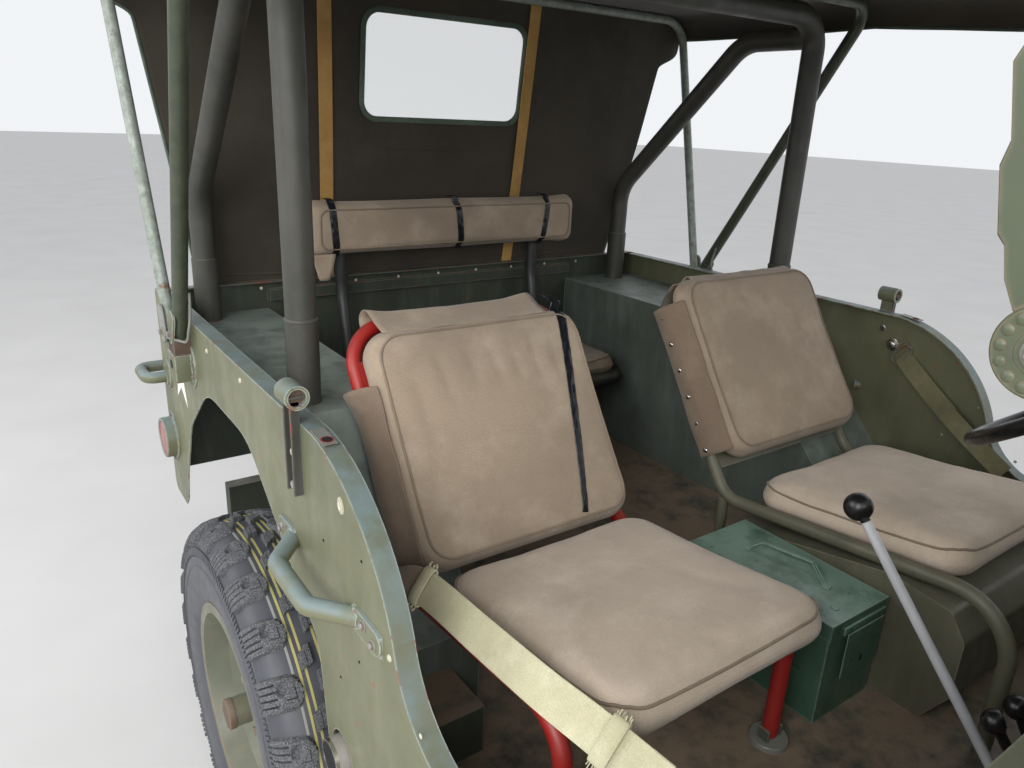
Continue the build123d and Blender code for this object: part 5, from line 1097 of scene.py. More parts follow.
def curtain_point(c, x, drop, z):
    """A place on the curtain, faintly uneven away from its window."""
    fallen = CURTAIN_START_Z - z
    z -= drop * (1 - ease(min(fallen / 0.15, 1)))
    half = curtain_half(z)
    n = abs(c)
    spread = x
    if n > WINDOW_COLUMNS:
        share = (n - WINDOW_COLUMNS) / (ALL_COLUMNS - WINDOW_COLUMNS)
        even = WINDOW_HALF + (half - WINDOW_HALF) * share
        spread = copysign(abs(x) + (even - abs(x)) * ease(min(fallen / 0.13, 1)), x)
    calm = min(fallen / 0.1, 1) * min((z - CURTAIN_FOOT_Z) / 0.15 + 0.15, 1)
    near_window = max(abs(spread) / WINDOW_HALF, abs(z - WINDOW_Z) / WINDOW_HIGH)
    calm *= min(max((near_window - 1.0) / 0.4, 0.0), 1.0)
    wave = swell(spread * 3.2, z * 2.1, 7.7) * 0.007
    wave += swell(spread * 11, z * 5, 2.2) * 0.0022
    pull = 0.006 * max(0.0, (abs(spread) / half - 0.72) / 0.28) ** 2 * sin(pi * min(fallen / 0.74, 1))
    return Vector((spread, curtain_y(z, CLOTH_MIDDLE) + (wave - pull) * calm, z))


def canvas_point(c, zone, y, z):
    """A place on the sheet."""
    x, drop = canvas_column(c)
    if zone == "roof":
        return roof_point(x, drop, y, z)
    if zone == "crease":
        return Vector((x, y + drop * CURTAIN_SLOPE, z - drop))
    return curtain_point(c, x, drop, z)


def onto_window(place):
    """The nearest place on the window's round corner, for a point near it."""
    x, z = abs(place.x), abs(place.z - WINDOW_Z)
    cx, cz = WINDOW_ARC
    if x > cx and z > cz:
        away = hypot(x - cx, z - cz)
        x, z = cx + (x - cx) * WINDOW_CORNER / away, cz + (z - cz) * WINDOW_CORNER / away
    place.x, place.z = copysign(x, place.x), WINDOW_Z + copysign(z, place.z - WINDOW_Z)
    place.y = curtain_y(place.z, CLOTH_MIDDLE)


def make_canvas():
    """The canvas as one sheet, with its edge line from one front corner round the foot to the other."""
    bm = bmesh.new()
    columns = range(-ALL_COLUMNS, ALL_COLUMNS + 1)
    grid = [[bm.verts.new(canvas_point(c, *row)) for c in columns] for row in canvas_rows()]
    edge = [row[0] for row in grid] + grid[-1][1:] + [row[-1] for row in grid[-2::-1]]
    edge = [v.co.copy() for v in edge]
    for low, high in zip(grid, grid[1:]):
        for k in range(len(low) - 1):
            corners = (low[k], low[k + 1], high[k + 1], high[k])
            middle = sum((v.co for v in corners), Vector()) / 4
            inside = edge_distance(middle.x, middle.z - WINDOW_Z, WINDOW_HALF, WINDOW_HIGH, WINDOW_CORNER)
            if middle.y <= CURTAIN_FROM_Y or inside <= 0:
                bm.faces.new(corners)
    for vertex in [v for v in bm.verts if not v.link_faces]:
        bm.verts.remove(vertex)
    for vertex in bm.verts:
        near = abs(vertex.co.x) < WINDOW_HALF + 0.002 and abs(vertex.co.z - WINDOW_Z) < WINDOW_HIGH + 0.002
        if vertex.is_boundary and near:
            onto_window(vertex.co)
    area = sum(face.calc_area() for face in bm.faces)
    cloth = piece("canvas_sheet", bm, "canvas", "car", 80, ("canvas_inside",), CLOTH_THICK)
    if cloth.data.polygons[0].normal.z < 0:
        cloth.data.flip_normals()
    cloth.modifiers["thick"].material_offset = 1
    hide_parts("canvas_top")
    return cloth, edge, area


CANVAS, CANVAS_EDGE, CANVAS_AREA = make_canvas()

# Binding round the window and along the sheet's edge
trim = bmesh.new()
window_line = [(x, WINDOW_Z + z) for x, z in corner_arcs(*WINDOW_ARC, WINDOW_CORNER, 8)]
for out in (-0.0012, 0.0052):
    points = [(x, curtain_y(z, out), z) for x, z in window_line]
    ribbon(trim, points, [FRONT] * len(points), 0.013, 0.0016)
pipe(trim, [(x * 1.004, curtain_y(z, CLOTH_MIDDLE), z) for x, z in window_line], 0.0024, 8, closed=True)
WINDOW_TRIM = piece("window_binding", trim, "binding", "car", 50)
trim = bmesh.new()
pipe(trim, CANVAS_EDGE, 0.0034, 8)
EDGE_TRIM = piece("canvas_binding", trim, "binding", "car", 80)

# Hem at the foot and the window panel's lower seam
seams = bmesh.new()
for z0, x0, x1 in ((CURTAIN_FOOT_Z + 0.072, -0.605, 0.605), (1.352, -0.292, 0.222)):
    points = []
    for k in range(41):
        z = z0 - 0.006 * sin(pi * k / 40) + 0.002 * sin(k * 0.7)
        points.append(Vector((x0 + (x1 - x0) * k / 40, curtain_y(z, -0.0014), z)))
    webbing(seams, points, FRONT, 0.006, 0.0022)
    webbing(seams, [p + Vector((0, 0.0072, 0)) for p in points], BACK, 0.006, 0.0022)
SEAMS = piece("canvas_seams", seams, "canvas_inside", "car", 50)

straps = bmesh.new()
STRAP_TOP, STRAP_FOOT = 1.703, 1.01
for x_top, x_low in ((-0.322, -0.306), (0.244, 0.236)):
    points = []
    for k in range(30):
        z = STRAP_TOP - (STRAP_TOP - STRAP_FOOT) * k / 29
        out = -0.003 - 0.0035 * sin(pi * k / 29)
        points.append((x_top + (x_low - x_top) * k / 29, curtain_y(z, out), z))
    webbing(straps, points, FRONT, 0.033, 0.0022)
STRAPS = piece("canvas_straps", straps, "strap_ochre", "car", 40)

# Cloth and webbing on the seats
TUBE_X, TUBE_BEHIND, TUBE_TOP, TUBE_WRAP = 0.211, -0.0735, 0.406, 0.015


def cloth_strip(name, rows, material, body):
    """A thin sewn-on strip through rows of points."""
    bm = bmesh.new()
    join_rows(bm, [[bm.verts.new(p) for p in row] for row in rows])
    piece(name, bm, material, body, 60, (), 0.0018)


def wrap(*places):
    """A smooth line of (a, b) places in the plane across a tube."""
    return [(p.x, p.y) for p in smooth_line([(a, b, 0) for a, b in places], 8)]


def top_flap(person, pad_top, x0, x1, rise, loose):
    """The cover's upper edge turned back over the frame's top tube."""
    section = wrap(
        (-0.012, pad_top - 0.01), (-0.03, pad_top + 0.008), (-0.052, TUBE_TOP + rise * 0.8),
        (TUBE_BEHIND, TUBE_TOP + rise), (TUBE_BEHIND - 0.014, TUBE_TOP + 0.008),
        (TUBE_BEHIND - 0.016, TUBE_TOP - 0.02), (TUBE_BEHIND - 0.015, TUBE_TOP - 0.052),
    )
    rows = []
    for k in range(29):
        t = k / 28
        x = x0 + (x1 - x0) * t
        sag = sin(pi * t) * 0.002
        row = []
        for j, (z, v) in enumerate(section):
            wobble = swell(x * 22, v * 18, 3.0 + loose) * 0.0022
            lift = loose * max(0, 1 - 6 * min(t, 1 - t)) * 0.01 * sin(pi * j / len(section))
            row.append(BACKS[person][0] @ Vector((x, v - sag + wobble + lift, z)))
        rows.append(row)
    cloth_strip(f"{person}_top_flap", rows, "cushion", BODIES[person])


def side_flap(person, low, high, flare):
    """The cover's right edge turned back round the frame's side tube."""
    section = wrap(
        (0.208, -0.012), (0.215, -0.028), (0.2255, -0.05), (TUBE_X + TUBE_WRAP + 0.001, TUBE_BEHIND),
        (0.22, TUBE_BEHIND - 0.0145), (0.204, TUBE_BEHIND - 0.017), (0.186, TUBE_BEHIND - 0.0165),
    )
    rows = []
    for k in range(37):
        t = k / 36
        v = low + (high - low) * t
        loose = flare * max(0.0, (t - 0.8) / 0.2) ** 1.5
        row = []
        for j, (x, z) in enumerate(section):
            wobble = swell(v * 20, z * 24, 5.5) * 0.0026
            open_up = loose * sin(pi * min((j + 1) / len(section) * 1.2, 1))
            row.append(BACKS[person][0] @ Vector((-(x + wobble + open_up), v + open_up * 0.4, z)))
        rows.append(row)
    cloth_strip(f"{person}_side_flap_right", rows, "cushion_dark", BODIES[person])


top_flap("passenger", 0.384, -0.176, 0.15, 0.0175, 0.6)
side_flap("passenger", 0.01, 0.292, 0.016)
top_flap("driver", 0.416, -0.16, 0.16, 0.016, 0.1)
side_flap("driver", 0.06, 0.372, 0.004)

# Press studs down the driver's cover
studs = bmesh.new()
driver_back = BACKS["driver"][0]
for k in range(6):
    stud = driver_back @ Vector((-TUBE_X - TUBE_WRAP - 0.0015, 0.072 + k * 0.056, TUBE_BEHIND + 0.01))
    rivet(studs, stud, driver_back.to_3x3() @ Vector((-1, 0, 0.25)), 0.0052)
piece("driver_studs", studs, "bright_steel", "car")


TAPE_COLUMNS = 9
TAPE_LIFT, TAPE_THICK = 0.0012, 0.0008


def tape(bm, line, widths, out, seed):
    """Crinkled tape along points, given the direction out of each."""
    rows = []
    for k, (frame_here, face, width) in enumerate(zip(frames_along(line), out, widths)):
        face = Vector(face)
        across = frame_here.col[2].to_3d().cross(face).normalized()
        ragged = 1 + 0.1 * swell(k * 0.5, seed, 1.0)
        row = []
        for j in range(TAPE_COLUMNS):
            u = 2 * j / (TAPE_COLUMNS - 1) - 1
            crinkle = swell(k * 0.35, u * 2.2, seed) * 0.0012
            crinkle += swell(k * 1.1, u * 3.0, seed + 9) * 0.0007
            spot = frame_here.translation + across * u * width / 2 * ragged
            row.append(bm.verts.new(spot + face * (crinkle + 0.0006 * (1 - u * u))))
        rows.append(row)
    join_rows(bm, rows)


back_at, back_tree = BACKS["passenger"]
out, up = back_at.col[2].to_3d(), back_at.col[1].to_3d()
strip = bmesh.new()
line = [back_at @ Vector(p) for p in ((0.178, 0.4215, -0.05), (0.177, 0.408, -0.03), (0.175, 0.39, -0.0105))]
directions = [(up + out * 0.3).normalized(), (up + out * 0.7).normalized(), (up * 0.5 + out).normalized()]
for k in range(64):
    t = k / 63
    x, y = 0.173 + (0.096 - 0.173) * t, 0.378 + (0.014 - 0.378) * t
    line.append(dropped(back_tree, back_at, x, y, TAPE_LIFT, -0.008))
    directions.append(out)
widths = [0.02] * 3 + [0.0195 - 0.0085 * (k / 63) ** 0.8 for k in range(64)]
tape(strip, line, widths, directions, 4.0)
piece("passenger_back_tape", strip, "tape", "passenger_seat", 50, (), TAPE_THICK)

out, up = REST_AT.col[2].to_3d(), REST_AT.col[1].to_3d()
strip = bmesh.new()
for seed, x_top, x_low in ((1.0, -0.336, -0.328), (2.0, -0.002, 0.01), (3.0, 0.286, 0.272)):
    line = [REST_AT @ Vector((x_low, y, z)) for y, z in ((-0.0012, -0.04), (0.001, -0.016))]
    directions = [-up, (out - up).normalized()]
    for k in range(26):
        t = k / 25
        line.append(dropped(REST_TREE, REST_AT, x_low + (x_top - x_low) * t, 0.01 + 0.11 * t, TAPE_LIFT, -0.004))
        directions.append(out)
    line += [REST_AT @ Vector((x_top, y, z)) for y, z in ((0.1318, -0.016), (0.1335, -0.03), (0.1325, -0.046))]
    directions += [(out + up).normalized(), up, up]
    tape(strip, line, [0.017] * len(line), directions, seed)
piece("rear_rest_tapes", strip, "tape", "car", 50, (), TAPE_THICK)

rows = []
for k in range(9):
    t = k / 8
    left, right = -0.392 + 0.016 * t, -0.334 - 0.018 * t
    ripples = [1.3535 + 0.003 * sin(3 * t + j * 0.5) for j in range(7)]
    rows.append([(left + (right - left) * j / 6, y, 1.114 - 0.06 * t) for j, y in enumerate(ripples)])
cloth_strip("rear_rest_tongue", rows, "cushion", "car")

# Lap belt across the passenger's seat, with two cloth keepers
belt_line = smooth_line((
    (-0.606, 0.64, 0.64), (-0.604, 0.59, 0.742), (-0.596, 0.532, 0.788), (-0.586, 0.468, 0.812), (-0.58, 0.31, 0.82),
    (-0.5745, 0.207, 0.823), (-0.5645, 0.122, 0.8235), (-0.5435, 0.047, 0.806),
))
BELT_ACROSS = Vector((0.66, 0.0, 0.75))
BELT_SPLIT = 17
KEEPERS = (18, 37)
last = len(belt_line) - 1
faces = [
    -BELT_ACROSS.cross(belt_line[min(k + 1, last)] - belt_line[max(k - 1, 0)]).normalized() for k in range(last + 1)
]
for name, first, end, width, thickness, material in (
    ("passenger_lap_belt", BELT_SPLIT, last + 1, 0.047, 0.0022, "belt_khaki"),
    ("lap_belt_rear", 0, BELT_SPLIT + 1, 0.045, 0.0024, "cushion"),
    ("lap_belt_hem", last - 2, last + 1, 0.0475, 0.0036, "belt_khaki"),
):
    belt = bmesh.new()
    webbing(belt, belt_line[first:end], faces[first:end], width, thickness)
    piece(name, belt, material, "passenger_seat", 40)
keepers = bmesh.new()
for k in KEEPERS:
    middle, run, face = belt_line[k], (belt_line[k + 1] - belt_line[k - 1]).normalized(), faces[k]
    across = run.cross(face).normalized()
    ring = []
    for a in range(24):
        angle = 2 * pi * a / 24
        u, w = cos(angle), sin(angle)
        wide, high = copysign(abs(u) ** 0.6, u) * 0.0275, copysign(abs(w) ** 0.8, w) * 0.0062
        ring.append(middle + across * wide + face * high)
    ribbon(keepers, ring, [(p - middle).normalized() for p in ring], 0.021, 0.0022)
    for end in (1, -1):
        for j in range(7):
            spot = middle + across * end * 0.0285 + run * (j - 3) * 0.0028 + face * 0.002 * sin(j * 2.1)
            reach = across * end * (0.005 + 0.0022 * sin(j * 1.7 + k))
            tip = spot + reach + face * 0.003 * cos(j * 1.3) + run * 0.002 * sin(j * 3.1)
            pipe(keepers, [spot, (spot + tip) / 2 + face * 0.0008, tip], 0.0008, 5)
piece("lap_belt_keepers", keepers, "belt_khaki", "passenger_seat", 50)

# Driver's belt from its anchor on the side down to the seat
anchor, seat_end = Vector((0.7035, 0.556, 0.968)), Vector((0.672, 0.252, 0.77))
run = seat_end - anchor
points = []
for t in (0.1, 0.25, 0.4, 0.55, 0.7, 0.85, 1.0):
    sag = sin(pi * t)
    points.append(anchor + run * t + Vector((-0.004 * sag, 0, -0.01 * sag)))
belt = bmesh.new()
webbing(belt, points, (-1, 0, 0.12), 0.04, 0.0024)
webbing(belt, [p + Vector((0.003, 0.003, 0.004)) for p in points[:4]], (-1, 0, 0.12), 0.039, 0.0022)
piece("driver_belt", belt, "belt_olive", "car", 40)
hook = bmesh.new()
side_run = run.normalized()
across = side_run.cross(Vector((-1, 0, 0))).normalized()
loop_at = anchor + run * 0.095
loop = (
    (-1, 0.004), (-1, -0.012), (-0.45, -0.018), (0.45, -0.018), (1, -0.012), (1, 0.004), (0.6, 0.01), (-0.6, 0.01),
)
pipe(hook, [loop_at + across * a * 0.026 + side_run * b for a, b in loop], 0.0032, 8, closed=True)
slab(
    hook, Matrix.Translation(anchor + side_run * 0.004) @ Matrix.Rotation(0.6, 4, "X"), (0.003, 0.022, 0.034), 0.0008
)
piece("belt_hook", hook, "seat_green", "car")
pins = bmesh.new()
bolt(pins, anchor + Vector((-0.003, 0, 0)), (-1, 0, 0), 0.0095, 0.007)
bolt(pins, (0.7075, 0.5905, 0.9985), (-1, 0, 0), 0.0055, 0.004)
piece("belt_bolts", pins, "bright_steel", "car")


# Side hardware: handles, plates, bolts, rivets, clamp channel, bow brackets, star and lamps
BEND_STEPS = 7


def side_frame(side, y, z, out=0.0):
    """A matrix on a side panel's face: x runs along the car, y up and z outward."""
    turn = Matrix(((0, 0, side), (1, 0, 0), (0, 1, 0))).to_4x4()
    return Matrix.Translation((side * (BODY_HALF + out), y, z)) @ turn


def bent_line(points, radius):
    """Straight runs joined by arcs of one radius."""
    points = [Vector(p) for p in points]
    line = [points[0]]
    for before, corner, after in zip(points, points[1:], points[2:]):
        run_in, run_out = (corner - before).normalized(), (after - corner).normalized()
        turn = run_in.angle(run_out)
        start = corner - run_in * radius * tan(turn / 2)
        arm = -(run_out - run_in * run_in.dot(run_out)).normalized() * radius
        for k in range(BEND_STEPS + 1):
            angle = turn * k / BEND_STEPS
            line.append(start - arm + arm * cos(angle) + run_in * radius * sin(angle))
    return [*line, points[-1]]


def plate(bm, matrix, outline, thickness, edge=0.0008):
    """A flat plate with a chamfered rim, from an outline in the matrix's xy plane."""
    corners = [Vector((x, y, 0)) for x, y in outline]
    middle = sum(corners, Vector()) / len(corners)
    rings = []
    for height, inward in ((-0.0006, 0), (thickness - edge, 0), (thickness, edge)):
        up = Vector((0, 0, height))
        rings.append([matrix @ (p - (p - middle).normalized() * inward + up) for p in corners])
    loft(bm, rings)


def stadium(length, width, upright=True):
    """An outline with round ends, long in y, or in x."""
    radius = width / 2
    reach = length / 2 - radius
    turns = [pi * (k / BEND_STEPS - 0.5) for k in range(BEND_STEPS + 1)]
    right = [(reach + radius * cos(a), radius * sin(a)) for a in turns]
    outline = [*right, *((-x, -y) for x, y in right)]
    return [(-y, x) for x, y in outline] if upright else outline


HANDLE_TUBE = 0.0128
FRONT_HANDLE = ((0.706, 0.406, 0.845), (0.753, 0.463, 0.845), (0.753, 0.577, 0.845), (0.706, 0.634, 0.845))
REAR_HANDLE = (
    (0.706, 1.438, 0.848), (0.753, 1.438, 0.848), (0.753, 1.526, 0.848), (0.672, 1.526, 0.848), (0.672, 1.479, 0.848),
)
# The strap's wire, bent out over the bow bracket
STRAP_WIRE = (
    (0.714, 1.122, 1.104), (0.714, 1.132, 1.06), (0.72, 1.13, 1.03), (0.723, 1.14, 1.008),
    (0.733, 1.158, 1.0065), (0.743, 1.18, 1.0065), (0.75, 1.205, 1.0065),
)
CLAMP_Y = 0.593
SLEEVE_AT = (0.713, CLAMP_Y, 1.078)
BRACKET_Y = 1.2
STAR_AT = (1.304, 0.892)
STAR_RADIUS = 0.075
STAR = [
    (r * sin(k * pi / 5), r * cos(k * pi / 5))
    for k, r in enumerate((STAR_RADIUS, STAR_RADIUS * 0.382) * 5)
]
REFLECTOR_AT = (1.434, 0.704)
# Each side's bolts: y, z, out, radius and height
SIDE_BOLTS = (
    (0.356, 0.841, 0.0044, 0.005, 0.0036), (0.382, 0.852, 0.0044, 0.005, 0.0036),
    (0.671, 0.841, 0.0044, 0.005, 0.0036), (0.657, 0.854, 0.0044, 0.005, 0.0036),
    (1.414, 0.882, 0.004, 0.005, 0.0036), (1.404, 0.844, 0.004, 0.005, 0.0036),
    (CLAMP_Y, 0.948, 0.0045, 0.0062, 0.0052),
    (1.158, 0.958, 0.003, 0.0048, 0.0034), (1.16, 0.93, 0.003, 0.0048, 0.0034),
)
# Each side's flat plates: y, z, outline and thickness
SIDE_PLATES = (
    (0.379, 0.845, stadium(0.084, 0.034, False), 0.0044),
    (0.652, 0.845, stadium(0.066, 0.034, False), 0.0044),
    (1.414, 0.862, stadium(0.066, 0.04), 0.004),
    (1.185, 0.947, stadium(0.092, 0.074), 0.003),
    (*REFLECTOR_AT, stadium(0.124, 0.026), 0.003),
)
SIDE_RIVETS = ((1.051, 1.012), (0.848, 1.018), (0.626, 1.016), (0.321, 0.845))
SMALL_RIVETS = ((0.392, 0.933), (0.407, 0.78), (0.512, 0.9), (0.47, 0.712))

# The holes mesh takes dark discs, slots and domes that stand for holes: painted shade.
painted, nuts, rusty, pale, stars, shaded_holes, channels, lenses, bow_feet, primer = (bmesh.new() for _ in range(10))
for side in (-1, 1):
    outward = (side, 0, 0)
    for points, bend in ((FRONT_HANDLE, 0.026), (REAR_HANDLE, 0.022)):
        pipe(painted, bent_line([(side * x, y, z) for x, y, z in points], bend), HANDLE_TUBE, 20)
    for y, z, outline, thickness in SIDE_PLATES:
        plate(painted, side_frame(side, y, z), outline, thickness)
    for *place, radius, height in SIDE_BOLTS:
        bolt(nuts, side_frame(side, *place).translation, outward, radius, height)
    # The small rivets go into the holes mesh as dark dots of painted shade.
    for bm, places, radius in ((pale, SIDE_RIVETS, 0.0048), (shaded_holes, SMALL_RIVETS, 0.0022)):
        for place in places:
            rivet(bm, side_frame(side, *place).translation, outward, radius)
    oval = side_frame(side, 0.447, 0.981) @ Matrix.Rotation(1.15, 4, "Z") @ Matrix.Diagonal((1.9, 1, 1, 1))
    ring = ((0.006, 0), (0.0056, 0.0024), (0.004, 0.0036), (0.0028, 0.0036), (0.0022, 0.0022), (0, 0.0022))
    lathe(pale, oval, ring, 20)

    # Clamp for the side curtain's rod: a channel with two bolts and a rusty sleeve
    for y in (0.5795, 0.6065):
        slab(channels, side_frame(side, y, 1.004, 0.0065), (0.003, 0.136, 0.013), 0.0007)
    slab(channels, side_frame(side, CLAMP_Y, 1.007, 0.0028), (0.026, 0.142, 0.0034), 0.0006)
    # Dark strip for the clamp's slot: painted shade.
    plate(shaded_holes, side_frame(side, CLAMP_Y, 1.032, 0.0045), stadium(0.046, 0.008), 0.0004, 0)
    bolt(pale, side_frame(side, CLAMP_Y, 0.996, 0.0045).translation, outward, 0.005, 0.0034, False)
    middle = Matrix.Translation((side * SLEEVE_AT[0], *SLEEVE_AT[1:]))
    sleeve = middle @ Matrix.Rotation(pi / 2, 4, "X")
    lathe(painted, sleeve, ((0.0168, -0.0206), (0.0168, 0.0206), (0.0122, 0.0206), (0.0122, -0.0206)), 24, closed=True)
    disc(rusty, sleeve, 0.0124, -0.015, 0.015, 24)
    slab(channels, middle, (0.024, 0.037, 0.004), 0.0008)

    # Stake pocket plate on the corner of the lip
    pocket = Matrix.Translation((side * 0.698, 0.524, 1.0402)) @ Matrix.Rotation(0.1, 4, "X")
    slab(bow_feet, pocket, (0.02, 0.046, 0.0016), 0.0005)
    hole = pocket @ Matrix.Translation((0, -0.01, 0))
    lathe(primer, hole, ((0.0088, 0.0006), (0.0084, 0.0011), (0, 0.0011)), 18)
    # Dark disc in the pocket's hole: painted shade.
    disc(shaded_holes, hole, 0.0066, 0.001, 0.0014, 18)

    # Bow bracket: rusty upper block, bent strap and the bows' flat feet
    slab(painted, side_frame(side, BRACKET_Y, 0.945, 0.0165), (0.06, 0.056, 0.034), 0.003, 2)
    slab(rusty, side_frame(side, BRACKET_Y, 0.989, 0.0155), (0.0585, 0.032, 0.0345), 0.003, 2)
    # Dark disc for the bracket's hole: painted shade.
    disc(shaded_holes, side_frame(side, BRACKET_Y, 0.95, 0.0336), 0.0095, 0, 0.0004, 20)
    pipe(bow_feet, smooth_line([(side * x, y, z) for x, y, z in STRAP_WIRE], 5), 0.0026, 10)
    for bm, y, lean, x in ((bow_feet, 1.213, 0.25, 0.747), (painted, 1.172, -0.52, 0.739)):
        foot = side_frame(side, y, 1.03, x - BODY_HALF) @ Matrix.Rotation(-lean, 4, "Z")
        plate(bm, foot, stadium(0.076, 0.03), 0.0042)
        bolt(nuts, foot @ Vector((0, -0.016, 0.0042)), outward, 0.0062, 0.005)

    plate(stars, side_frame(side, *STAR_AT), STAR, 0.0004, 0)

    # Side reflector and tail lamp, each with a red face in a painted ring
    face = side_frame(side, *REFLECTOR_AT)
    lathe(painted, face, (
        (0.05, -0.0004), (0.05, 0.003), (0.0466, 0.0042), (0.0466, 0.024),
        (0.045, 0.0262), (0.0405, 0.0262), (0.0395, 0.024),
    ), 40)
    lathe(lenses, face, ((0.0398, 0.0241), (0.03, 0.0246), (0, 0.025)), 40)
    for z in (-0.054, 0.054):
        bolt(nuts, face @ Vector((0, z, 0.003)), outward, 0.004, 0.0028)
    back = facing((side * 0.64, REAR_PANEL_Y, 0.665), BACK)
    ring = ((0.0325, 0), (0.0325, 0.023), (0.0312, 0.0252), (0.027, 0.0252), (0.0262, 0.0238))
    lathe(painted, back, ring, 32)
    lathe(lenses, back, ((0.0266, 0.0241), (0.018, 0.0247), (0, 0.025)), 32)
piece("side_fittings", painted, "side_paint", "car", 35)
piece("side_nuts", nuts, "bow_steel", "car", 30)
piece("rusty_fittings", rusty, "rust", "car", 35)
piece("side_rivets", pale, "worn_steel", "car")
piece("side_stars", stars, "star_white", "car")
piece("fitting_holes", shaded_holes, "dark_hole", "car")
piece("clamp_channels", channels, "cage_paint", "car", 30)
piece("red_lenses", lenses, "red_lens", "car", 60)
piece("bow_feet", bow_feet, "bow_steel", "car", 35)
piece("primer_rings", primer, "seat_red", "car", 35)

# Weld beads at the front posts of the cage, on their sockets
welds = bmesh.new()
for x in (-0.611, 0.611):
    bead = ((0.025, 0.0045), (0.0272, 0.003), (0.028, 0.0005), (0.0274, -0.0018))
    lathe(welds, Matrix.Translation((x, 0.831, WHEEL_BOX_TOP + 0.14)), bead, 32)
piece("cage_welds", welds, "cage_paint", "car", 60)

# Windshield hinge arm on each side: a shaped plate, a disc with a ring of bumps and a nut
ARM_PLATE = (
    (-0.262, 1.47), (-0.186, 1.4665), (-0.183, 1.4596), (-0.189, 1.4307), (-0.187, 1.4212),
    (-0.1925, 1.3946), (-0.196, 1.3907), (-0.199, 1.3777), (-0.205, 1.366), (-0.262, 1.335),
)
ARM_BUMPS = 14
arms, nuts = bmesh.new(), bmesh.new()
for side in (-1, 1):
    plate(arms, side_frame(side, 0, 0, -0.0262), ARM_PLATE, 0.004)
    centre = side_frame(side, -0.2203, 1.3524, -0.0225)
    ring = ((0.0195, -0.004), (0.0195, 0.0022), (0.0186, 0.0032), (0.01, 0.0032), (0.0094, 0.0042), (0, 0.0042))
    lathe(arms, centre, ring, 40)
    for k in range(ARM_BUMPS):
        angle = 2 * pi * k / ARM_BUMPS
        bump = Vector((0.0152 * cos(angle), 0.0152 * sin(angle), 0.003))
        rivet(arms, centre @ bump, (side, 0, 0), 0.0027)
    bolt(nuts, centre @ Vector((0, 0, 0.0042)), (side, 0, 0), 0.0046, 0.0042)
piece("windshield_arms", arms, "bow_green", "car")
piece("windshield_nuts", nuts, "bow_steel", "car", 30)

# Gear lever sleeve over the bar
rod = bmesh.new()
lever_foot, lever_ball = Vector((0, -0.132, 0.546)), Vector((-0.063, 0.161, 0.936))
points = [lever_foot.lerp(lever_ball, t) for t in (0.05, 0.35, 0.65, 0.955)]
pipe(rod, points, [0.008, 0.0076, 0.0074, 0.0072], 16)
piece("gear_rod", rod, "polished", "car", 60)

# Stowage lid: a raised flat handle on two wire legs, tabs, two discs and a latch plate with its slot
lid, slot = bmesh.new(), bmesh.new()
bar_rear, bar_front = Vector((0.049, 0.374, 0.7345)), Vector((0.07, 0.286, 0.7345))
bar_run = bar_front - bar_rear
bar_turn = Matrix.Rotation(atan2(bar_run.y, bar_run.x), 4, "Z")
slab(lid, Matrix.Translation((bar_rear + bar_front) / 2) @ bar_turn, (bar_run.length, 0.0085, 0.0022), 0.0006)
for leg, end in ((Vector((0.03, 0.39, LID_TOP)), bar_rear), (Vector((0.042, 0.24, LID_TOP)), bar_front)):
    for apart in (-0.003, 0.003):
        pipe(lid, [p + Vector((apart, 0, 0)) for p in (leg, (leg + end) / 2, end)], 0.0012, 8)
    slab(lid, Matrix.Translation(leg + Vector((0, 0, 0.001))) @ bar_turn, (0.014, 0.016, 0.0024), 0.0006)
for x, y in ((0.004, 0.198), (0.084, 0.2)):
    button = ((0.0072, -0.0004), (0.0072, 0.001), (0.0062, 0.0018), (0, 0.0018))
    lathe(lid, Matrix.Translation((x, y, LID_TOP)), button, 24)
slab(lid, Matrix.Translation((0.045, 0.1678, 0.7)), (0.112, 0.004, 0.014), 0.0012, 2)
slab(lid, Matrix.Translation((0.052, 0.1676, 0.648)), (0.098, 0.0022, 0.084), 0.0008)
# Dark plate for the latch's slot: painted shade.
plate(slot, facing((0.054, 0.1662, 0.628), FRONT), stadium(0.013, 0.005), 0.0004, 0)
piece("lid_fittings", lid, "box_paint", "stowage_lid", 35)
piece("lid_slot", slot, "dark_hole", "stowage_lid")

# Seat feet: silver washers on the floor
feet = bmesh.new()
for x in (-0.129, -0.551):
    washer = ((0.03, -0.004), (0.03, 0.0035), (0.0285, 0.005), (0, 0.005))
    lathe(feet, Matrix.Translation((x, 0.19, FLOOR_TOP + 0.004)), washer, 36)
piece("seat_washers", feet, "bow_steel", "car", 35)

# Exhaust end
rim, hole = bmesh.new(), bmesh.new()
tail = facing((-0.727, 0.476, 0.577), (-1, 0, 0))
lathe(rim, tail, ((0.0272, -0.004), (0.0272, 0.0012), (0.024, 0.0012), (0.0236, -0.004)), 32)
# Dark disc in the pipe's opening: painted shade.
disc(hole, tail, 0.024, -0.0002, 0.0004, 32)
piece("exhaust_rim", rim, "bright_steel", "car")
piece("exhaust_hole", hole, "dark_hole", "car")

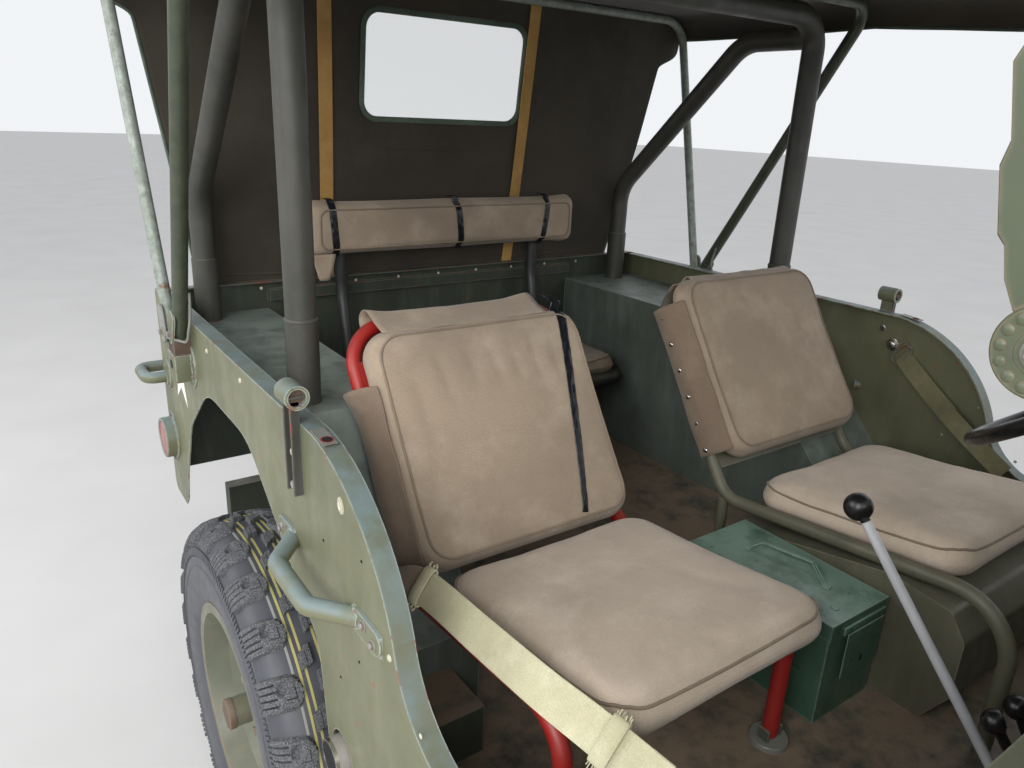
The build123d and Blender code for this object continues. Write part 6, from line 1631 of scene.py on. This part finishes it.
# Wheels: a rusty hub cap, five nuts on the hub flange and five hand holes in the disc, drawn as dark discs of painted
# shade
NUT_CIRCLE, HOLE_CIRCLE, HOLE_TURN = 0.05, 0.128, 0.63
for place in PLACES:
    side, centre = wheel_at(place)
    hub = facing(centre, (side, 0, 0))
    cap, nuts, shaded_holes = (bmesh.new() for _ in range(3))
    lathe(cap, hub, ((0.0285, 0.072), (0.0285, 0.081), (0.0262, 0.0842), (0.012, 0.0846), (0, 0.0846)), 32)
    for k in range(5):
        angle = 2 * pi * k / 5
        spot = hub @ Vector((NUT_CIRCLE * cos(angle), NUT_CIRCLE * sin(angle), 0.03))
        bolt(nuts, spot, (side, 0, 0), 0.0085, 0.01)
        angle += HOLE_TURN
        spot = hub @ Vector((HOLE_CIRCLE * cos(angle), HOLE_CIRCLE * sin(angle), 0.008))
        disc(shaded_holes, facing(spot, (side, 0, 0)), 0.013, -0.0004, 0.0003, 24)
    piece(f"hub_cap_{place}", cap, "rust", f"wheel_{place}")
    piece(f"wheel_nuts_{place}", nuts, "rim_paint", f"wheel_{place}", 30)
    piece(f"hand_holes_{place}", shaded_holes, "dark_hole", f"wheel_{place}")

# White rivet heads inside the side panels and along the rear rail
dots = bmesh.new()
for y, z in ((0.47, 0.905), (0.345, 0.88), (0.405, 0.795), (0.25, 0.79)):
    for side in (-1, 1):
        rivet(dots, (side * (BODY_HALF - 0.0015), y, z), (-side, 0, 0), 0.0034)
for k in range(9):
    rivet(dots, (-0.48 + 0.12 * k, REAR_PANEL_Y - 0.0225, 1.025), FRONT, 0.004)
piece("inner_rivets", dots, "worn_steel", "car")

# Headlamps: a painted ring, a fluted lens with a dark bowl behind, and a ring round the small lamp below each
bezels, bowls = bmesh.new(), bmesh.new()
FLUTE_STEP, FLUTE_REACH = 0.014, 0.079
for x in (-LAMP_X, LAMP_X):
    lamp = facing((x, GRILLE_FRONT, LAMP_Z), FRONT)
    lathe(bezels, lamp, ((0.0935, -0.0005), (0.0935, 0.003), (0.09, 0.0058), (0.084, 0.0058), (0.082, 0.002)), 56)
    lathe(bowls, lamp, ((0.0822, 0.0008), (0.065, 0.0018), (0.056, 0.0012), (0.034, 0.0034), (0, 0.0044)), 48)
    for k in range(-5, 6):
        reach = sqrt(FLUTE_REACH**2 - (FLUTE_STEP * k) ** 2)
        pipe(bowls, [lamp @ Vector((FLUTE_STEP * k, y, 0.0012)) for y in (-reach, reach)], 0.0011, 8)
    small = facing((x, GRILLE_FRONT - 0.01, MARKER_Z), FRONT)
    ring = ((0.003, -0.009), (0.003, 0.001), (-0.004, 0.0016), (-0.005, 0.0004))
    lathe(bezels, small, [(MARKER_RADIUS + wider, height) for wider, height in ring], 28)
piece("lamp_rings", bezels, "body_paint", "car")
piece("lamp_lenses", bowls, "lamp_glass", "car", 60)

bolts = bmesh.new()
for x in (-0.4, -0.34, 0.34, 0.4):
    bolt(bolts, (x, BUMPER_FRONT, BUMPER_MIDDLE_Z), FRONT, 0.0095, 0.007)
piece("bumper_bolts", bolts, "chassis", "car", 30)
